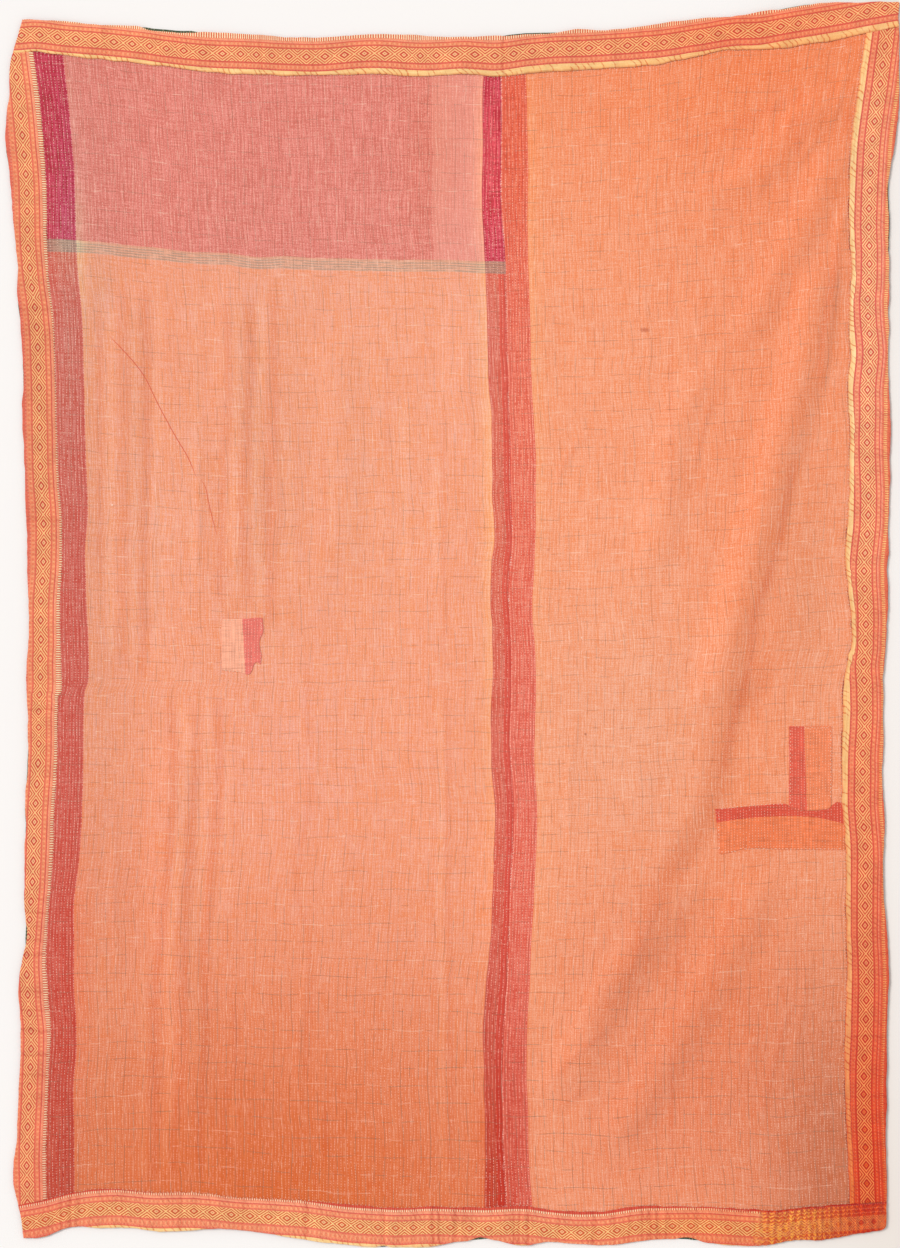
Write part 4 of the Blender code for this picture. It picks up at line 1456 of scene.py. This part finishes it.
# Runs of stitches down the seam: first and last place along it, spacing, length and width.
SEAM_RUNS = [(645, 320, 6.2, 3.0, 0.9), (120, -210, 8.5, 2.6, 0.8), (-330, -1060, 13, 2.4, 0.7)]
# Runs along the borders' inner edges: side, first and last place along it, and how far aside.
HEM_RUNS = [
    ("left", 1048, -1060, 0.6), ("right", 1085, -1068, -0.6), ("top", -770, 760, -0.6),
    ("bottom", -780, 790, 0.6),
]
# Runs of stitches round the patches, and the distance from one stitch to the next.
PATCH_RUNS = [
    ([(626.5, -193), (626.5, -336)], 7.0), ([(652, -191), (700, -191)], 5.6),
    ([(700.5, -194), (700.5, -328)], 7.5), ([(495, -341), (563, -333.5), (618, -331.5)], 7.5),
    ([(492, -345), (495, -362)], 5.6), ([(493, -372), (496, -420)], 6.2),
    ([(497, -421), (528, -419)], 6.2), ([(532, -414.5), (722, -414.5)], 7.0),
    ([(-423, 8), (-390, 9)], 7.0), ([(-421, -85), (-388, -88)], 7.0), ([(-351, 4), (-352, -12)], 5.0),
]

# ---------------------------------------------------------------------------------------- the stage

CAMERA_HEIGHT = 5.4
VIEW_HEIGHT = 1248 * 1.85 * MM  # rows of the picture, and the millimetres that one row shows
CAMERA_X = -2.8
CAMERA_Y = 0.9
SENSOR = 36
SUN_STRENGTH, SUN_WIDTH, SUN_TURN = 1.72, 22, (0, -38, -28)  # width and turns in degrees
SKY_STRENGTH = 0.62
FLOOR_TINT = (0.93, 0.895, 0.87)
FLOOR_PAINTED_SHADOW = (0.12, 0.17, 0.22)  # painted shadow on the floor, where it is darkest, to the right of the quilt
FLOOR_X = [-9, -1, 0.5, 0.7, 0.78, 0.82, 0.86, 1.1, 9]
FLOOR_Y = [-9, -1.2, -1.0, -0.8, -0.4, 0.1, 0.5, 1.3, 9]
FLOOR_DROP = -0.0004  # keeps the floor just clear of the backing's underside


def add_stage():
    """The camera of the photo, the light and the floor."""
    scene = bpy.context.scene
    scene.view_settings.view_transform = "Standard"
    lens = bpy.data.cameras.new("camera")
    lens.sensor_width = SENSOR
    lens.lens = SENSOR * CAMERA_HEIGHT / VIEW_HEIGHT
    camera = bpy.data.objects.new("camera", lens)
    camera.location = ((CAMERA_X - SHIFT_X) * MM, (CAMERA_Y - SHIFT_Y) * MM, CAMERA_HEIGHT)
    scene.collection.objects.link(camera)
    scene.camera = camera

    key = bpy.data.lights.new("key", "SUN")
    key.energy = SUN_STRENGTH
    key.angle = np.radians(SUN_WIDTH)
    lamp = bpy.data.objects.new("key", key)
    lamp.rotation_euler = [np.radians(turn) for turn in SUN_TURN]
    scene.collection.objects.link(lamp)

    world = bpy.data.worlds.new("studio")
    world.use_nodes = True
    background = world.node_tree.nodes["Background"]
    background.inputs["Color"].default_value = (1, 1, 1, 1)
    background.inputs["Strength"].default_value = SKY_STRENGTH
    scene.world = world

    x, y = np.meshgrid(FLOOR_X, FLOOR_Y)
    corners = np.stack([x, y, np.full_like(x, FLOOR_DROP)], -1).reshape(-1, 3)
    index = np.arange(x.size).reshape(x.shape)
    squares = np.stack([index[:-1, :-1], index[:-1, 1:], index[1:, 1:], index[1:, :-1]], -1)
    squares = squares.reshape(-1, 4)
    # Painted shadow on the floor, deepest to the right of the quilt and towards its lower end
    painted_floor_shadow = smooth_step(x, 0.45, 0.85) * np.interp(y, [-1.1, -0.7, 0.1, 0.6], [1.0, 0.55, 0.25, 0.5])
    tint = (1 - painted_floor_shadow[..., None] * np.array(FLOOR_PAINTED_SHADOW)) * np.array(FLOOR_TINT)
    paint = bpy.data.materials.new("floor")
    paint.use_nodes = True
    shader = paint.node_tree.nodes["Principled BSDF"]
    tone = paint.node_tree.nodes.new("ShaderNodeAttribute")
    tone.attribute_name = "tone"
    paint.node_tree.links.new(tone.outputs["Color"], shader.inputs["Base Color"])
    shader.inputs["Roughness"].default_value = 0.9
    shader.inputs["Specular IOR Level"].default_value = 0.1
    floor = new_object("floor", corners, squares, corners[:, :2], tint.reshape(-1, 3), paint)


# ---------------------------------------------------------------------------------------- the quilt


def main():
    add_stage()
    bpy.context.scene.frame_set(1)

    left_cloth = sari_cloth(
        "left_panel_cloth", [(-0.08, 0.052), (0.810, 0.90)], True, 0.6,
        ((243, 147, 101), (241, 159, 130)), ((206, 78, 62), (215, 106, 92)),
    )
    right_cloth = sari_cloth(
        "right_panel_cloth", [(-0.1, 0.047)], False, 0.45,
        ((244, 146, 98), (244, 162, 126)), ((222, 88, 68), (231, 118, 98)),
    )
    weaves = {
        "top": border_cloth("woven_border"),
        "left": border_cloth("woven_border_worn", worn=0.4),
        "right": border_cloth("woven_border_edged", edged=True),
        "bottom": border_cloth("woven_border_golden", golden=True, worn=0.5, pleated=True),
    }
    green = backing_cloth("green_backing")

    sheets = {}
    sheets["backing"] = add_backing(green)
    sheets["left_panel"] = add_panel(
        "left_panel_sheet", LEFT_U, LEFT_SAG, left_cloth, LEFT_ZONES, LEFT_MARKS
    )
    sheets["right_panel"] = add_panel(
        "right_panel_sheet", RIGHT_U, RIGHT_SAG, right_cloth, RIGHT_ZONES, RIGHT_CREASE_SHADING, RIGHT_FOLD_SHADE
    )
    for side in ("top", "bottom", "left", "right"):
        name = "border_" + side
        sheets[name] = add_border(name + "_sheet", side, weaves[side], BORDER_ZONES)

    small = patch_cloth(
        "small_patch", (247, 170, 138), (232, 118, 104),
        lambda u, v: step_up(u - v * 0.055, 0.0388, 0.0398),
    )
    upper = patch_cloth(
        "upper_patch", (237, 131, 87), (222, 92, 69),
        lambda u, v: step_up(u - v * 0.032, 0.0284, 0.0276),
    )
    lower = patch_cloth(
        "lower_patch", (234, 121, 74), (215, 80, 57),
        lambda u, v: step_up(v - lower_bow(u), 0.0166, 0.0156),
    )
    sheets["patch_left"] = add_patch(
        "patch_left_sheet", LEFT_PATCH, small,
        (
            wavy(-425, 16, 91), moved(charted(SMALL_RIGHT), wavy(0, 7, 92, 0.6)),
            wavy(11, 18, 93, 1.6), moved(charted(SMALL_BOTTOM), wavy(0, 6, 94, 0.6)),
        ),
    )
    sheets["patch_right_upper"] = add_patch(
        "patch_right_upper_sheet", UPPER_PATCH, upper,
        (wavy(624, 20, 95), wavy(703, 18, 96), wavy(-188, 17, 97), moved(charted(PATCH_JOIN), 0.3)),
    )
    sheets["patch_right_lower"] = add_patch(
        "patch_right_lower_sheet", LOWER_PATCH, lower,
        (
            charted(LOWER_LEFT), wavy(728, 12, 100, 0.5),
            moved(charted(PATCH_JOIN), -0.3), charted(LOWER_BOTTOM),
        ),
    )

    rng = np.random.default_rng(5)
    cream = thread_material("cream_thread", (246, 214, 186))
    faint = thread_material("faded_thread", (240, 168, 146))
    seam = []
    for first, last, spacing, length, width in SEAM_RUNS:
        path = path_along("seam", first, last, 0.8)
        seam.append(stitches_along(path, PANEL_LEVEL, spacing, length, width, rng, 0.35))
    seams = add_threads("seam_stitches", seam, faint)
    hems = []
    for side, first, last, aside in HEM_RUNS:
        path = path_along(side + "_border_pinched", first, last, aside)
        hems.append(stitches_along(path, PANEL_LEVEL, 7.5, 2.6, 0.8, rng, 1.1))
    hem_threads = add_threads("hem_stitches", hems, cream)
    patch_runs = [
        stitches_along(path, TRIM_LEVEL, spacing, 3.0, 0.9, rng) for path, spacing in PATCH_RUNS
    ]
    patch_threads = add_threads("patch_stitches", patch_runs, cream)
    rust = thread_material("rust_thread", (222, 104, 70))
    lengths = [thread_tube(PULLED_THREAD, 0.8), thread_tube(PULLED_THREAD_END, 0.7)]
    pulled = add_threads("pulled_thread", lengths, rust)

    for node, sheet in sheets.items():
        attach(sheet, "root")
        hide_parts(node)
    for threads in (seams, hem_threads, patch_threads, pulled):
        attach(threads, "root")


main()
